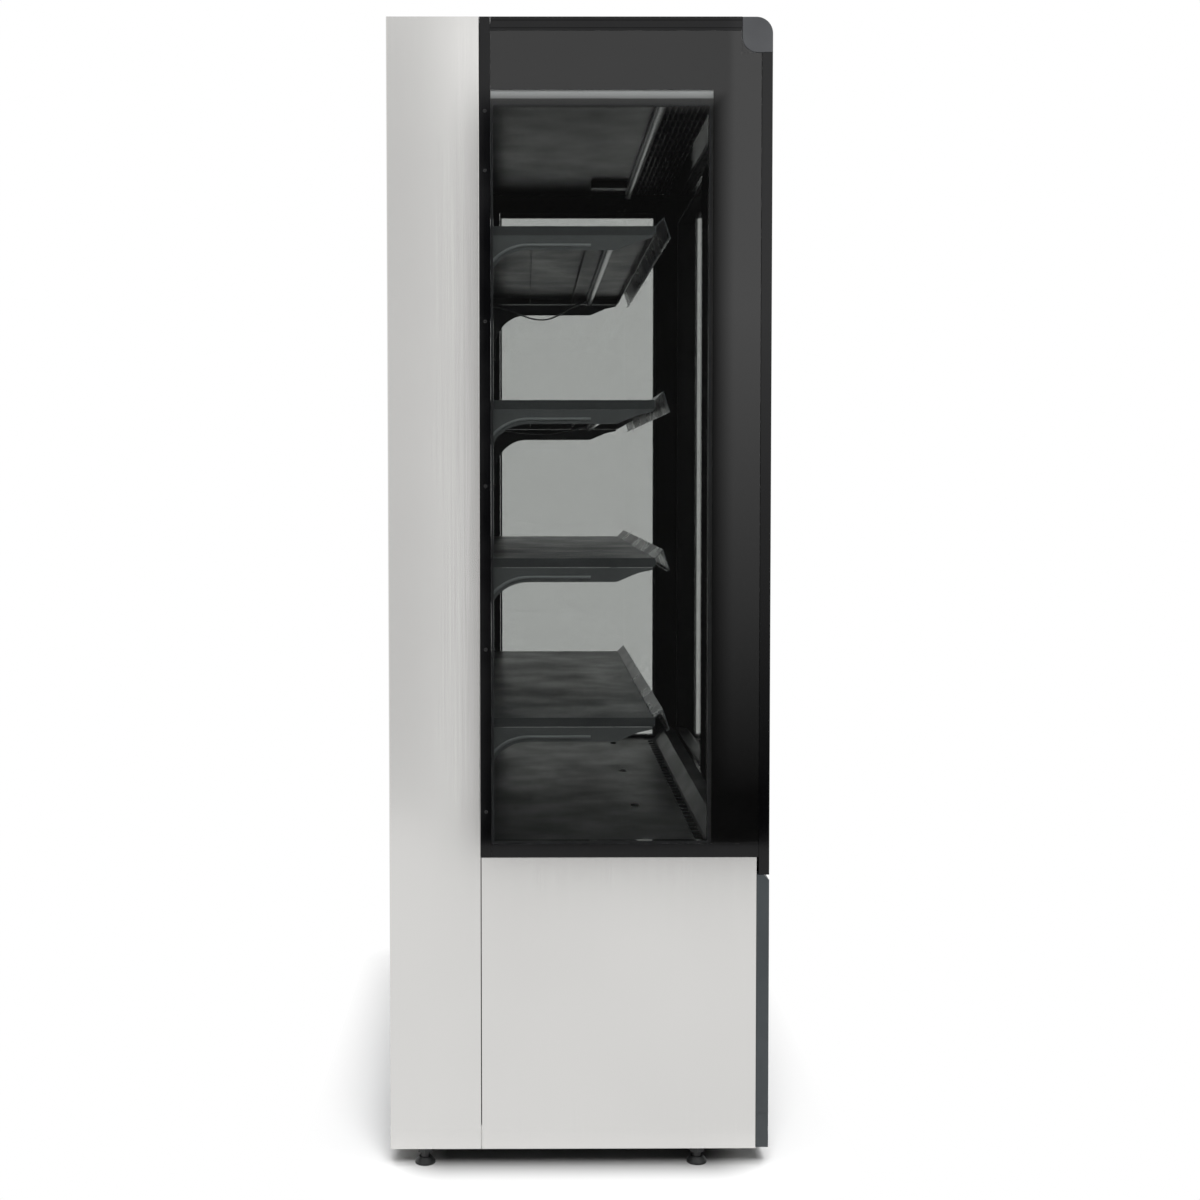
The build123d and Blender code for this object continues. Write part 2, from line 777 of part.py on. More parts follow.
# Shelf uprights: slotted channels on the duct wall that take the bracket hooks
upright_wide = 22.0
upright_deep = 9.0
upright_slot = 20.0
upright_pitch = 45.0
upright_sheet = 2.0
x_bracket = x_liner - 6
y_upright = y_duct - upright_deep
upright_low = deck_height + 12
upright_high = ceiling_height - 12
upright_slots = int((upright_high - upright_low - 40) / upright_pitch)
upright_slot_wide = bracket_sheet + 1.3
slot_first = upright_high - 30
slot_middle = slot_first - upright_slot / 2 - (upright_slots - 1) * upright_pitch / 2
with BuildPart() as shelf_uprights:
    for x_sign in (-1, 1):
        x_post = sorted((x_sign * (x_liner - 0.4), x_sign * (x_liner - 0.4 - upright_wide)))
        block(x_post, (y_upright, y_duct - fit), (upright_low, upright_high))
        block(
            (x_post[0] + upright_sheet, x_post[1] - upright_sheet),
            (y_upright + upright_sheet, y_duct - fit),
            (upright_low, upright_high),
            Mode.SUBTRACT,
        )
    with BuildSketch(Plane.XZ.offset(-y_upright)):
        with Locations((0, slot_middle)):
            with GridLocations(2 * x_bracket, upright_pitch, 2, upright_slots):
                Rectangle(upright_slot_wide, upright_slot)
    extrude(amount=-upright_sheet, mode=Mode.SUBTRACT)
save(shelf_uprights.part, "shelf_uprights")

# Shelves: trays folded down on all four sides, with a stiffening channel
x_shelf = x_bracket - bracket_sheet / 2 - fit
y_shelf_back = y_upright - fit
for number, shelf_top in enumerate(shelf_tops, start=1):
    with BuildPart() as shelf:
        block((-x_shelf, x_shelf), (y_shelf, y_shelf_back), (shelf_top - shelf_lip, shelf_top))
        fillet(shelf.edges().filter_by(Axis.X).group_by(Axis.Z)[-1], radius=1.5)
        block(
            (-x_shelf + sheet, x_shelf - sheet),
            (y_shelf + sheet, y_shelf_back - sheet),
            (shelf_top - shelf_lip, shelf_top - sheet),
            Mode.SUBTRACT,
        )
        for y_rib in (y_shelf + 110, y_shelf + 210):
            block(
                (-x_shelf + sheet, x_shelf - sheet),
                (y_rib, y_rib + sheet),
                (shelf_top - 12, shelf_top - sheet),
            )
    save(shelf.part, f"shelf_{number}")

# Shelf brackets: cantilever arms with a pressed bead and two hooks in the uprights
arm_drop = 41.5             # from the shelf's top to the arm's lower edge
arm_nose = 18.0
heel_width = 17.0
heel_drop = 150.0
heel_radius = 74.0
nose_run = 63.0
bead_drop = 31.0
bead_wide = 4.0
bead_proud = 1.0
hook_high = 16.0
y_nose = y_shelf + 3
y_heel = y_upright - fit
bracket_top = shelf_lip + fit


def bracket_arm(x_place, shelf_top):
    """A left bracket: the arm's outline, the hooks and the bead on its outer face."""
    y_arc = y_heel - heel_width - heel_radius
    with BuildPart() as arm:
        with BuildSketch(Plane.YZ.offset(x_place - bracket_sheet / 2)):
            with BuildLine():
                Polyline(
                    (y_arc, shelf_top - arm_drop),
                    (y_nose + nose_run, shelf_top - arm_drop),
                    (y_nose + nose_run * 0.4, shelf_top - arm_drop * 0.62),
                    (y_nose, shelf_top - bracket_top - 4),
                    (y_nose, shelf_top - bracket_top),
                    (y_heel, shelf_top - bracket_top),
                    (y_heel, shelf_top - heel_drop),
                    (y_heel - heel_width, shelf_top - heel_drop),
                    (y_heel - heel_width, shelf_top - arm_drop - heel_radius),
                )
                RadiusArc(
                    (y_heel - heel_width, shelf_top - arm_drop - heel_radius),
                    (y_arc, shelf_top - arm_drop),
                    -heel_radius,
                )
            make_face()
        extrude(amount=bracket_sheet)
        with BuildSketch(Plane.YZ.offset(x_place - bracket_sheet / 2 - bead_proud)):
            outer = heel_radius + (arm_drop - bead_drop)
            with BuildLine():
                Line(
                    (y_arc, shelf_top - bead_drop),
                    (y_nose + nose_run + 45, shelf_top - bead_drop),
                )
                Line(
                    (y_nose + nose_run + 45, shelf_top - bead_drop),
                    (y_nose + nose_run + 45, shelf_top - bead_drop - bead_wide),
                )
                Line(
                    (y_nose + nose_run + 45, shelf_top - bead_drop - bead_wide),
                    (y_arc, shelf_top - bead_drop - bead_wide),
                )
                RadiusArc(
                    (y_arc, shelf_top - bead_drop - bead_wide),
                    (y_arc + outer - bead_wide, shelf_top - bead_drop - outer),
                    outer - bead_wide,
                )
                Line(
                    (y_arc + outer - bead_wide, shelf_top - bead_drop - outer),
                    (y_arc + outer, shelf_top - bead_drop - outer),
                )
                RadiusArc(
                    (y_arc + outer, shelf_top - bead_drop - outer),
                    (y_arc, shelf_top - bead_drop),
                    -outer,
                )
            make_face()
        extrude(amount=bead_proud)
    return arm.part


def nearest_slot(height):
    """The top of the upright's slot that lies nearest below a height."""
    row = round((slot_first - height) / upright_pitch)
    return slot_first - row * upright_pitch


with BuildPart() as shelf_brackets:
    for shelf_top in shelf_tops:
        add(bracket_arm(-x_bracket, shelf_top))
        for drop in (40.0, 110.0):
            z_hook = nearest_slot(shelf_top - drop) - 2
            block(
                (-x_bracket - bracket_sheet / 2, -x_bracket + bracket_sheet / 2),
                (y_heel - 2, y_upright + upright_sheet + 3),
                (z_hook - hook_high, z_hook),
            )
    mirror(about=Plane.YZ)
save(shelf_brackets.part, "shelf_brackets")

# Ticket rails: a folded strip that leans back along each shelf's front
rail_sheet = 1.4
rail_rise = 15.0
rail_drop = 21.0
rail_out = 27.0
with BuildPart() as ticket_rails:
    for shelf_top in shelf_tops:
        y_rail = y_shelf - fit
        folded(
            [
                (y_rail, shelf_top - shelf_lip + 2),
                (y_rail, shelf_top),
                (y_rail - rail_out * 0.56, shelf_top + rail_rise),
                (y_rail - rail_out, shelf_top - rail_drop),
                (y_rail - rail_out + 5, shelf_top - rail_drop - 2.5),
            ],
            rail_sheet,
            2 * x_shelf,
        )
save(ticket_rails.part, "ticket_rails")

# Lamps: a channel with a diffuser below, one under each shelf and one under the ceiling
lamp_set = 68.5             # from a shelf's front edge to the lamp's middle
lamp_tops = [top - sheet - fit for top in shelf_tops]
with BuildPart() as lamps:
    lamp_places = [(y_shelf + lamp_set, top) for top in lamp_tops]
    lamp_places.append((y_outlet + 12, ceiling_height - fit))
    for y_lamp, z_lamp in lamp_places:
        with BuildSketch(Plane.YZ):
            with BuildLine():
                Polyline(
                    (y_lamp - lamp_wide / 2, z_lamp),
                    (y_lamp + lamp_wide / 2, z_lamp),
                    (y_lamp + lamp_wide / 2, z_lamp - lamp_high * 0.6),
                    (y_lamp + lamp_wide / 3, z_lamp - lamp_high),
                    (y_lamp - lamp_wide / 3, z_lamp - lamp_high),
                    (y_lamp - lamp_wide / 2, z_lamp - lamp_high * 0.6),
                    close=True,
                )
            make_face()
        extrude(amount=lamp_length / 2, both=True)
save(lamps.part, "lamps")

# Deck: three folded plates with a finger hole each
deck_gap = 1.0
deck_count = 3
deck_span = 2 * (x_liner - 1)
deck_wide = (deck_span - deck_gap * (deck_count - 1)) / deck_count
with BuildPart() as deck_plates:
    for number in range(deck_count):
        x_deck = (number - (deck_count - 1) / 2) * (deck_wide + deck_gap)
        folded(
            [
                (y_deck, deck_height - 22),
                (y_deck, deck_height),
                (y_duct - 1, deck_height),
                (y_duct - 1, deck_height - 22),
            ],
            sheet,
            deck_wide,
            x_deck,
            Side.RIGHT,
        )
        with BuildSketch(Plane.XY.offset(deck_height)):
            with Locations((x_deck + deck_wide / 2 - 60, y_deck + 80)):
                SlotOverall(30, 14)
        extrude(amount=-sheet, mode=Mode.SUBTRACT)
    for x_side in ((-x_window, -x_liner + 1.5), (x_liner - 1.5, x_window)):
        block(x_side, (y_deck, y_post - fit), (deck_height - sheet, deck_height))
save(deck_plates.part, "deck_plates")

# Return air grille: a slotted sheet that rises to the sill
return_slots = 32
y_return = y_deck - fit
with BuildPart() as return_grille:
    folded(
        [
            (y_return, deck_height - 14),
            (y_return, deck_height - 1),
            (y_return - 24, deck_height),
            (y_return - 44, deck_height + 24),
            (y_inner_leg + leg + fit, deck_height + 26.5),
        ],
        sheet,
        2 * x_window,
    )
    with BuildSketch(Plane.XY.offset(deck_height - 4)):
        with Locations((0, y_return - 12)):
            with GridLocations(34, 1, return_slots, 1):
                Rectangle(26, 14)
    extrude(amount=8, mode=Mode.SUBTRACT)
save(return_grille.part, "return_grille")

# Fan plate with two air rings, under the deck
y_fan = 95.0
fan_radius = 66.0
fan_tip = 1.5
fan_spacing = 430.0
fan_axis = tub_floor + tub_thick + 76
plate_sheet = 1.5
motor_radius = 22.0
with BuildPart() as fan_plate:
    block(
        (-x_liner, x_liner),
        (y_fan, y_fan + plate_sheet),
        (tub_floor + tub_thick + fit, deck_height - sheet - fit),
    )
    with BuildSketch(Plane.XZ.offset(-y_fan)):
        with Locations((-fan_spacing / 2, fan_axis), (fan_spacing / 2, fan_axis)):
            Circle(fan_radius + fan_tip + 2)
    extrude(amount=22)
    with BuildSketch(Plane.XZ.offset(-y_fan - plate_sheet)):
        with Locations((-fan_spacing / 2, fan_axis), (fan_spacing / 2, fan_axis)):
            Circle(fan_radius + fan_tip)
    extrude(amount=30, mode=Mode.SUBTRACT)
save(fan_plate.part, "fan_plate")


def axial_fan(radius, hub, depth, blades, bore):
    """A fan wheel on the Y axis: a hub and pitched blades lofted from root to tip."""
    blade_plane = Plane(origin=(0, 0, 0), x_dir=(0, 1, 0), z_dir=(1, 0, 0))
    with BuildPart() as blade:
        with BuildSketch(blade_plane.offset(hub - 2)):
            Rectangle(depth * 0.9, 2.2, rotation=-52)
        with BuildSketch(blade_plane.offset(radius * 0.7)):
            Rectangle(depth * 1.25, 1.8, rotation=-38)
        with BuildSketch(blade_plane.offset(radius - 1)):
            Rectangle(depth * 1.45, 1.2, rotation=-28)
        loft(ruled=True)
    with BuildPart() as wheel:
        with BuildSketch(Plane.XZ.offset(-depth / 2)):
            Circle(hub)
        extrude(amount=depth)
        for turn in range(blades):
            add(blade.part.rotate(Axis.Y, turn * 360 / blades))
        with BuildSketch(Plane.XZ.offset(-depth / 2)):
            Circle(bore)
        extrude(amount=depth, mode=Mode.SUBTRACT)
    return wheel.part


evaporator_wheel = axial_fan(fan_radius, 20.0, 22.0, 5, 3.1)
y_wheel_middle = y_fan - 14
for side, x_sign in (("left", -1), ("right", 1)):
    place = Location((x_sign * fan_spacing / 2, y_wheel_middle, fan_axis))
    save(evaporator_wheel.moved(place), f"evaporator_fan_{side}")



def return_bends(x_end, turn, places, span, radius):
    """Half rings that join pairs of tubes, one above the other, at a coil's end."""
    for y_bend, z_bend in places:
        with BuildSketch(Plane.YZ.offset(x_end)) as tube_end:
            with Locations((y_bend, z_bend + span / 2)):
                Circle(radius)
        axis = Axis((x_end, y_bend, z_bend), (0, 1, 0))
        revolve(tube_end.sketch, axis=axis, revolution_arc=turn)


# Evaporator: a fin block with its end plates and return bends
coil_fins = 22
fin_sheet = 0.8
x_coil = 420.0
y_coil = (200.0, 272.0)
z_coil = (tub_floor + tub_thick + 8, tub_floor + tub_thick + 148)
coil_grid = (36.0, 35.0)    # spacing of the tubes across and up
coil_end = 12.0             # how far the tubes stand out of the end plates
coil_bend = 4.3
with BuildPart() as evaporator_coil:
    with BuildSketch(Plane.XY.offset(z_coil[0])):
        with Locations((0, sum(y_coil) / 2)):
            with GridLocations(2 * x_coil / (coil_fins - 1), 1, coil_fins, 1):
                Rectangle(fin_sheet, y_coil[1] - y_coil[0])
    extrude(amount=z_coil[1] - z_coil[0])
    y_tubes, z_tubes = sum(y_coil) / 2, sum(z_coil) / 2
    with BuildSketch(Plane.YZ.offset(-x_coil - coil_end)):
        with Locations((y_tubes, z_tubes)):
            with GridLocations(*coil_grid, 2, 4):
                RegularPolygon(radius=5, side_count=8)
    extrude(amount=2 * (x_coil + coil_end))
    y_pair = (y_tubes - coil_grid[0] / 2, y_tubes + coil_grid[0] / 2)
    left_pairs = [(y, z_tubes) for y in y_pair]
    right_pairs = [(y, z_tubes + row * coil_grid[1]) for y in y_pair for row in (-1, 1)]
    return_bends(-x_coil - coil_end + fit, -180, left_pairs, coil_grid[1], coil_bend)
    return_bends(x_coil + coil_end - fit, 180, right_pairs, coil_grid[1], coil_bend)
    for x_foot in (-x_coil, x_coil):
        block(
            (x_foot - 0.6, x_foot + 0.6),
            y_coil,
            (tub_floor + tub_thick + fit, z_coil[0] + 1),
        )
save(evaporator_coil.part, "evaporator_coil")

# Compressor: a welded dome on a rubber footed plate, with its terminal box
x_compressor = -330.0
y_compressor = 130.0
dome_top = floor_top + 178
with BuildPart() as compressor:
    with BuildSketch(Plane.XZ) as half_section:
        Polygon(
            (0, floor_top + 14),
            (78, floor_top + 14),
            (86, floor_top + 34),
            (86, floor_top + 96),
            (90, floor_top + 98),
            (90, floor_top + 104),
            (86, floor_top + 106),
            (84, dome_top),
            (0, dome_top),
            align=None,
        )
        shoulder = half_section.vertices().group_by(Axis.Y)[-1].sort_by(Axis.X)[-1]
        fillet(shoulder, radius=46)
    revolve(axis=Axis.Z)
    with BuildSketch(Plane.XY.offset(floor_top + 10)):
        RectangleRounded(210, 150, 12)
    extrude(amount=4.5)
    with BuildSketch(Plane.XY.offset(floor_top)):
        with GridLocations(170, 110, 2, 2):
            Circle(11)
    extrude(amount=12)
    block((-30, 30), (-112, -80), (floor_top + 70, floor_top + 130))
save(
    compressor.part.moved(Location((x_compressor, y_compressor, 0))),
    "compressor",
)

# Condenser: a fin block ahead of its shroud and fan
condenser_fins = 20
x_condenser = (-40.0, 340.0)
y_condenser = (-262.0, -206.0)
z_condenser = (floor_top, floor_top + 250)
condenser_grid = (26.0, 40.0)
condenser_bend = 3.9
with BuildPart() as condenser_coil:
    span = x_condenser[1] - x_condenser[0]
    with BuildSketch(Plane.XY.offset(z_condenser[0])):
        with Locations((sum(x_condenser) / 2, sum(y_condenser) / 2)):
            with GridLocations(span / (condenser_fins - 1), 1, condenser_fins, 1):
                Rectangle(fin_sheet, y_condenser[1] - y_condenser[0])
    extrude(amount=z_condenser[1] - z_condenser[0])
    y_tubes, z_tubes = sum(y_condenser) / 2, sum(z_condenser) / 2
    with BuildSketch(Plane.YZ.offset(x_condenser[0] - coil_end)):
        with Locations((y_tubes, z_tubes)):
            with GridLocations(*condenser_grid, 2, 6):
                RegularPolygon(radius=4.5, side_count=8)
    extrude(amount=span + 2 * coil_end)
    y_near, y_far = y_tubes - condenser_grid[0] / 2, y_tubes + condenser_grid[0] / 2
    row_high = condenser_grid[1]
    left_pairs = [(y_far, z_tubes - 2 * row_high), (y_far, z_tubes)]
    left_pairs += [(y_near, z_tubes - row_high), (y_near, z_tubes + row_high)]
    right_pairs = [(y, z_tubes + row * row_high) for y in (y_near, y_far) for row in (-2, 0, 2)]
    return_bends(x_condenser[0] - coil_end + fit, -180, left_pairs, row_high, condenser_bend)
    return_bends(x_condenser[1] + coil_end - fit, 180, right_pairs, row_high, condenser_bend)
save(condenser_coil.part, "condenser_coil")

condenser_radius = 110.0
x_fan_middle = sum(x_condenser) / 2
z_fan_middle = floor_top + 126
shroud_deep = 40.0
with BuildPart() as condenser_shroud:
    y_shroud_front = y_condenser[1] + fit
    block(x_condenser, (y_shroud_front, y_shroud_front + shroud_deep), z_condenser)
    block(
        (x_condenser[0] + 1.5, x_condenser[1] - 1.5),
        (y_shroud_front, y_shroud_front + shroud_deep - 1.5),
        (z_condenser[0] + 1.5, z_condenser[1] - 1.5),
        Mode.SUBTRACT,
    )
    with BuildSketch(Plane.XZ.offset(-(y_shroud_front + shroud_deep - 1.5))):
        with Locations((x_fan_middle, z_fan_middle)):
            Circle(condenser_radius + 6)
    extrude(amount=-26)
    with BuildSketch(Plane.XZ.offset(-(y_shroud_front + 8))):
        with Locations((x_fan_middle, z_fan_middle)):
            Circle(condenser_radius + 4)
    extrude(amount=-70, mode=Mode.SUBTRACT)
save(condenser_shroud.part, "condenser_shroud")

condenser_wheel = axial_fan(condenser_radius, 30.0, 26.0, 5, 4.1)
y_condenser_fan = y_shroud_front + shroud_deep + 6
save(
    condenser_wheel.moved(Location((x_fan_middle, y_condenser_fan, z_fan_middle))),
    "condenser_fan",
)

# Fan motors: two cans on three arms behind the fan plate, one on a stand behind the condenser
evaporator_shaft = 3.0
condenser_shaft = 4.0
y_motor = y_fan + plate_sheet + fit
y_condenser_motor = y_condenser_fan + 18
with BuildPart() as fan_motors:
    motor_places = [(-fan_spacing / 2, fan_axis), (fan_spacing / 2, fan_axis)]
    with BuildSketch(Plane.XZ.offset(-y_motor)):
        with Locations(*motor_places):
            Circle(motor_radius)
    extrude(amount=-40)
    with BuildSketch(Plane.XZ.offset(-y_motor)):
        with Locations(*motor_places):
            Circle(evaporator_shaft)
    extrude(amount=y_motor - y_wheel_middle + 12)
    with BuildSketch(Plane.XZ.offset(-y_motor)):
        with Locations(*motor_places):
            with PolarLocations(fan_radius * 0.62, 3, start_angle=90):
                Rectangle(fan_radius, 7)
    extrude(amount=-2.5)
    with BuildSketch(Plane.XZ.offset(-y_condenser_motor)):
        with Locations((x_fan_middle, z_fan_middle)):
            Circle(40)
    extrude(amount=-56)
    with BuildSketch(Plane.XZ.offset(-y_condenser_motor)):
        with Locations((x_fan_middle, z_fan_middle)):
            Circle(condenser_shaft)
    extrude(amount=y_condenser_motor - y_condenser_fan + 14)
    block(
        (x_fan_middle - 30, x_fan_middle + 30),
        (y_condenser_motor + 20, y_condenser_motor + 42),
        (floor_top, z_fan_middle - 30),
    )
    block(
        (x_fan_middle - 45, x_fan_middle + 45),
        (y_condenser_motor + 6, y_condenser_motor + 56),
        (floor_top, floor_top + 3),
    )
save(fan_motors.part, "fan_motors")

# Drip tray: a moulded tray with drafted walls behind the condenser
tray_top = floor_top + 60
with BuildPart() as drip_tray:
    with BuildSketch(Plane.XY.offset(floor_top)):
        with Locations((100, 210)):
            RectangleRounded(360, 130, 14)
    extrude(amount=tray_top - floor_top, taper=-4)
    with BuildSketch(Plane.XY.offset(floor_top + 2.5)):
        with Locations((100, 210)):
            RectangleRounded(355, 125, 12)
    extrude(amount=tray_top - floor_top, taper=-4, mode=Mode.SUBTRACT)
save(drip_tray.part, "drip_tray")

# Electrical box at the back, with the mains gland through a hole in the grille
y_box = (140.0, y_back - grille_sheet - fit)
with BuildPart() as control_box:
    with BuildSketch(Plane.XY.offset(floor_top)):
        with Locations((x_box, sum(y_box) / 2)):
            RectangleRounded(120, y_box[1] - y_box[0], 5)
    extrude(amount=150)
    fillet(control_box.faces().sort_by(Axis.Z)[-1].edges(), radius=3)
    with BuildSketch(Plane.XZ.offset(-y_box[1])):
        with Locations((x_box, gland_high)):
            Circle(gland_radius)
            Circle(4.5, mode=Mode.SUBTRACT)
    extrude(amount=-(y_back + grille_stand - 0.5 - y_box[1]))
save(control_box.part, "control_box")

# Refrigerant pipes with the filter drier between condenser and evaporator
pipe_radius = 4.8
drier_radius = 12.0


def pipe(points, radius, bend):
    """A round pipe swept along straight runs joined by tangent bends."""
    with BuildPart() as tube:
        with BuildLine():
            route = FilletPolyline(*points, radius=bend)
        with BuildSketch(Plane(origin=route @ 0, z_dir=route % 0)):
            Circle(radius)
        sweep()
    return tube.part


x_suction = x_compressor - 25
y_suction = y_compressor + 20
x_liquid = x_condenser[0] - 40
suction = pipe(
    [
        (x_suction, y_suction, dome_top + fit),
        (x_suction, y_suction, dome_top + 55),
        (x_suction - 60, y_suction, dome_top + 55),
        (x_suction - 60, y_suction, tub_floor - fit),
    ],
    pipe_radius,
    18,
)
discharge = pipe(
    [
        (x_compressor + 22, y_compressor - 22, dome_top + fit),
        (x_compressor + 22, y_compressor - 22, floor_top + 225),
        (x_liquid, y_compressor - 22, floor_top + 225),
        (x_liquid, -221, floor_top + 225),
        (x_condenser[0] - 12.4, -221, floor_top + 225),
    ],
    pipe_radius,
    18,
)
liquid = pipe(
    [
        (x_condenser[0] - 12.4, -247, floor_top + 25),
        (x_liquid, -247, floor_top + 25),
        (x_liquid, -60, floor_top + 25),
    ],
    pipe_radius,
    18,
)
with BuildPart() as refrigerant_pipes:
    add(suction)
    add(discharge)
    add(liquid)
    with BuildSketch(Plane.XZ.offset(62)):
        with Locations((x_liquid, floor_top + 25)):
            Circle(drier_radius)
    extrude(amount=-90)
    fillet(
        refrigerant_pipes.edges().filter_by(GeomType.CIRCLE).filter_by(
            lambda edge: abs(edge.radius - drier_radius) < 0.01
        ),
        radius=5,
    )
save(refrigerant_pipes.part, "refrigerant_pipes")

# Controller and light switch, clipped into the recess of the lower front panel
bezel_edge = 4.0
bezel_proud = 1.5
with BuildPart() as controller:
    with BuildSketch(Plane.XZ.offset(-(y_recess - bezel_proud))):
        with Locations((x_controller, z_recess)):
            RectangleRounded(controller_size[0] + 2 * bezel_edge, controller_size[1] + 2 * bezel_edge, 4)
    extrude(amount=-bezel_proud)
    with BuildSketch(Plane.XZ.offset(-y_recess)):
        with Locations((x_controller, z_recess)):
            Rectangle(*controller_size)
    extrude(amount=-controller_deep)
save(controller.part, "controller")

rocker_size = (13.0, 19.0)
rocker_pin = 1.5
rocker_set = 3.0
with BuildPart() as light_switch:
    with BuildSketch(Plane.XZ.offset(-(y_recess - bezel_proud))):
        with Locations((x_switch, z_recess)):
            RectangleRounded(switch_size[0] + 2, switch_size[1] + 2, 2)
    extrude(amount=-bezel_proud)
    with BuildSketch(Plane.XZ.offset(-y_recess)):
        with Locations((x_switch, z_recess)):
            Rectangle(*switch_size)
    extrude(amount=-24)
    with BuildSketch(Plane.XZ.offset(-(y_recess - bezel_proud))):
        with Locations((x_switch, z_recess)):
            Rectangle(rocker_size[0] + 2 * fit, rocker_size[1] + 2 * fit)
    extrude(amount=-14, mode=Mode.SUBTRACT)
    with BuildSketch(Plane.YZ.offset(x_switch - rocker_size[0] / 2 - 1)):
        with Locations((y_recess + rocker_set, z_recess)):
            Circle(rocker_pin)
    extrude(amount=rocker_size[0] + 2)
save(light_switch.part, "light_switch")

with BuildPart() as switch_rocker:
    with BuildSketch(Plane.YZ.offset(x_switch - rocker_size[0] / 2)):
        with Locations((y_recess + rocker_set, z_recess)):
            Polygon(
                (-6.4, rocker_size[1] / 2 - 1.4),
                (-3.9, 0),
                (-4.6, -rocker_size[1] / 2 + 1.2),
                (2.5, -rocker_size[1] / 2 + 1.8),
                (5.0, 0),
                (2.5, rocker_size[1] / 2 - 1.8),
                align=None,
            )
            Circle(rocker_pin + pin_fit, mode=Mode.SUBTRACT)
    extrude(amount=rocker_size[0])
save(switch_rocker.part, "switch_rocker")

# Lamp leads: a thin cord from the rear side of each shelf lamp to the duct wall
lead_radius = 1.8
x_lead = 510.0
lead_start = 0.8            # from the lamp to the lead's slanting end
y_lead = (y_shelf + lamp_set + lamp_wide / 2 + lead_start, y_duct - fit)
loose_route = [(0.0, -14), (28, -22), (58, -42), (94, -58), (134, -54), (171, -38), (208, -26)]
short_route = [(0.0, -11), (33, -19), (70, -26.5), (108, -29), (148, -27), (186, -22.5), (215, -21)]
lead_routes = {0: loose_route, 1: short_route, 2: short_route, 3: short_route}


def tangent_radii(points):
    """Bend radii as large as the runs beside each corner allow."""
    radii = []
    for before, corner, after in zip(points, points[1:], points[2:]):
        run_in = Vector(corner) - Vector(before)
        run_out = Vector(after) - Vector(corner)
        half_turn = run_in.get_angle(run_out) / 2
        radii.append(0.45 * min(run_in.length, run_out.length) / tan(radians(half_turn)))
    return radii


with BuildPart() as lamp_leads:
    for number, route in lead_routes.items():
        shelf_top = shelf_tops[number]
        points = [(x_lead, y_lead[0] + along, shelf_top + drop) for along, drop in route]
        points.append((x_lead, y_lead[1], shelf_top + route[-1][1] + 1))
        radii = tangent_radii(points)
        lead = pipe(points, lead_radius, radii)
        lead_long = lead.volume / (pi * lead_radius**2)
        print(f"lead {number + 1}: length {lead_long:.1f}, least bend radius {min(radii):.1f}")
        add(lead)
save(lamp_leads.part, "lamp_leads")
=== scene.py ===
import math

import bmesh
import bpy
import numpy as np
from mathutils import Matrix, Vector


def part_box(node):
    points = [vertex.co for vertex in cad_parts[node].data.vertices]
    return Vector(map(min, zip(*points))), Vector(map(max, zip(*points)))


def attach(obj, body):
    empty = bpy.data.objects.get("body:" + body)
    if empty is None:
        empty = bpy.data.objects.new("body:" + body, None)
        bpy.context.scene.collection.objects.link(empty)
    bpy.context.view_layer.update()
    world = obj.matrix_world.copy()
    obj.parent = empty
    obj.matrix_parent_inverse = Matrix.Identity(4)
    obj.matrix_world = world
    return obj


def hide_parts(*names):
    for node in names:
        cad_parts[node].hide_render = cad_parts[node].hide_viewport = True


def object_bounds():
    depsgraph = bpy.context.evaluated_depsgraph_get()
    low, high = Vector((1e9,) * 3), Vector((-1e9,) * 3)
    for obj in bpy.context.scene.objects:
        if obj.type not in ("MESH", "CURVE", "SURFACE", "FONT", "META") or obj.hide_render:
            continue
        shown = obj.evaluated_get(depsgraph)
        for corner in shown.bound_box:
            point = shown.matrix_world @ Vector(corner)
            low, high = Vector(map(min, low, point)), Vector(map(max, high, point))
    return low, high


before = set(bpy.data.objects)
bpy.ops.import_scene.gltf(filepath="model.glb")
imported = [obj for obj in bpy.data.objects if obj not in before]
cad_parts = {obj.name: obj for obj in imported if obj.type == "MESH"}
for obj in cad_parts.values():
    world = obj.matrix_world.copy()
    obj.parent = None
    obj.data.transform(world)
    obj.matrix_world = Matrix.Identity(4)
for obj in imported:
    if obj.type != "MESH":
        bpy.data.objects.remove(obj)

bl_info = {
    "name": "Multideck display fridge dressing",
    "version": (1, 0, 0),
    "blender": (4, 5, 0),
    "location": "3D Viewport > Sidebar > Fridge",
    "description": "Finishes and small pieces of a glass sided multideck display fridge",
    "category": "Object",
}

MM = 0.001
CAD_LOW, CAD_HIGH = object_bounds()
CABINET = "cabinet"
LEAF_BODY = {"left": "door_left", "right": "door_right"}
SIDES = (("left", -1), ("right", 1))
SHELVES = (1, 2, 3, 4)
LAMP_SET = 68.5 * MM                # from a shelf's front edge to the middle of its lamp
EDGE = 0.2 * MM                     # how far thin trim stays back from an edge
BITE = 0.15 * MM                    # how far print stands off a pane, and trim cuts into one
PANE_FACE = CAD_HIGH.x - 1 * MM     # outer face of the outer side pane
PANE_BACK = CAD_HIGH.x - 6 * MM     # its inner face
UNIT_BACK = PANE_BACK - 14 * MM     # outer face of the inner side pane
STRIP_FADE = (1.838, 1.850)         # heights between which the strip's painted reflection fades
SHARP = math.radians(40)            # edges that turn by more than this stay sharp

# The camera fitted to the photograph, in metres, radians and pixels of its square frame
FRAME_PX = 1200
FOCAL_PX = 1613.2
CENTRE_PX = (528.8, 541.8)          # where the camera's axis meets the frame
SENSOR = 36.0                       # millimetres
CAMERA_PLACE = (-3.357, 0.0953, 1.1897)
PITCH, YAW, ROLL = 0.0380, 0.0040, math.radians(-0.06)

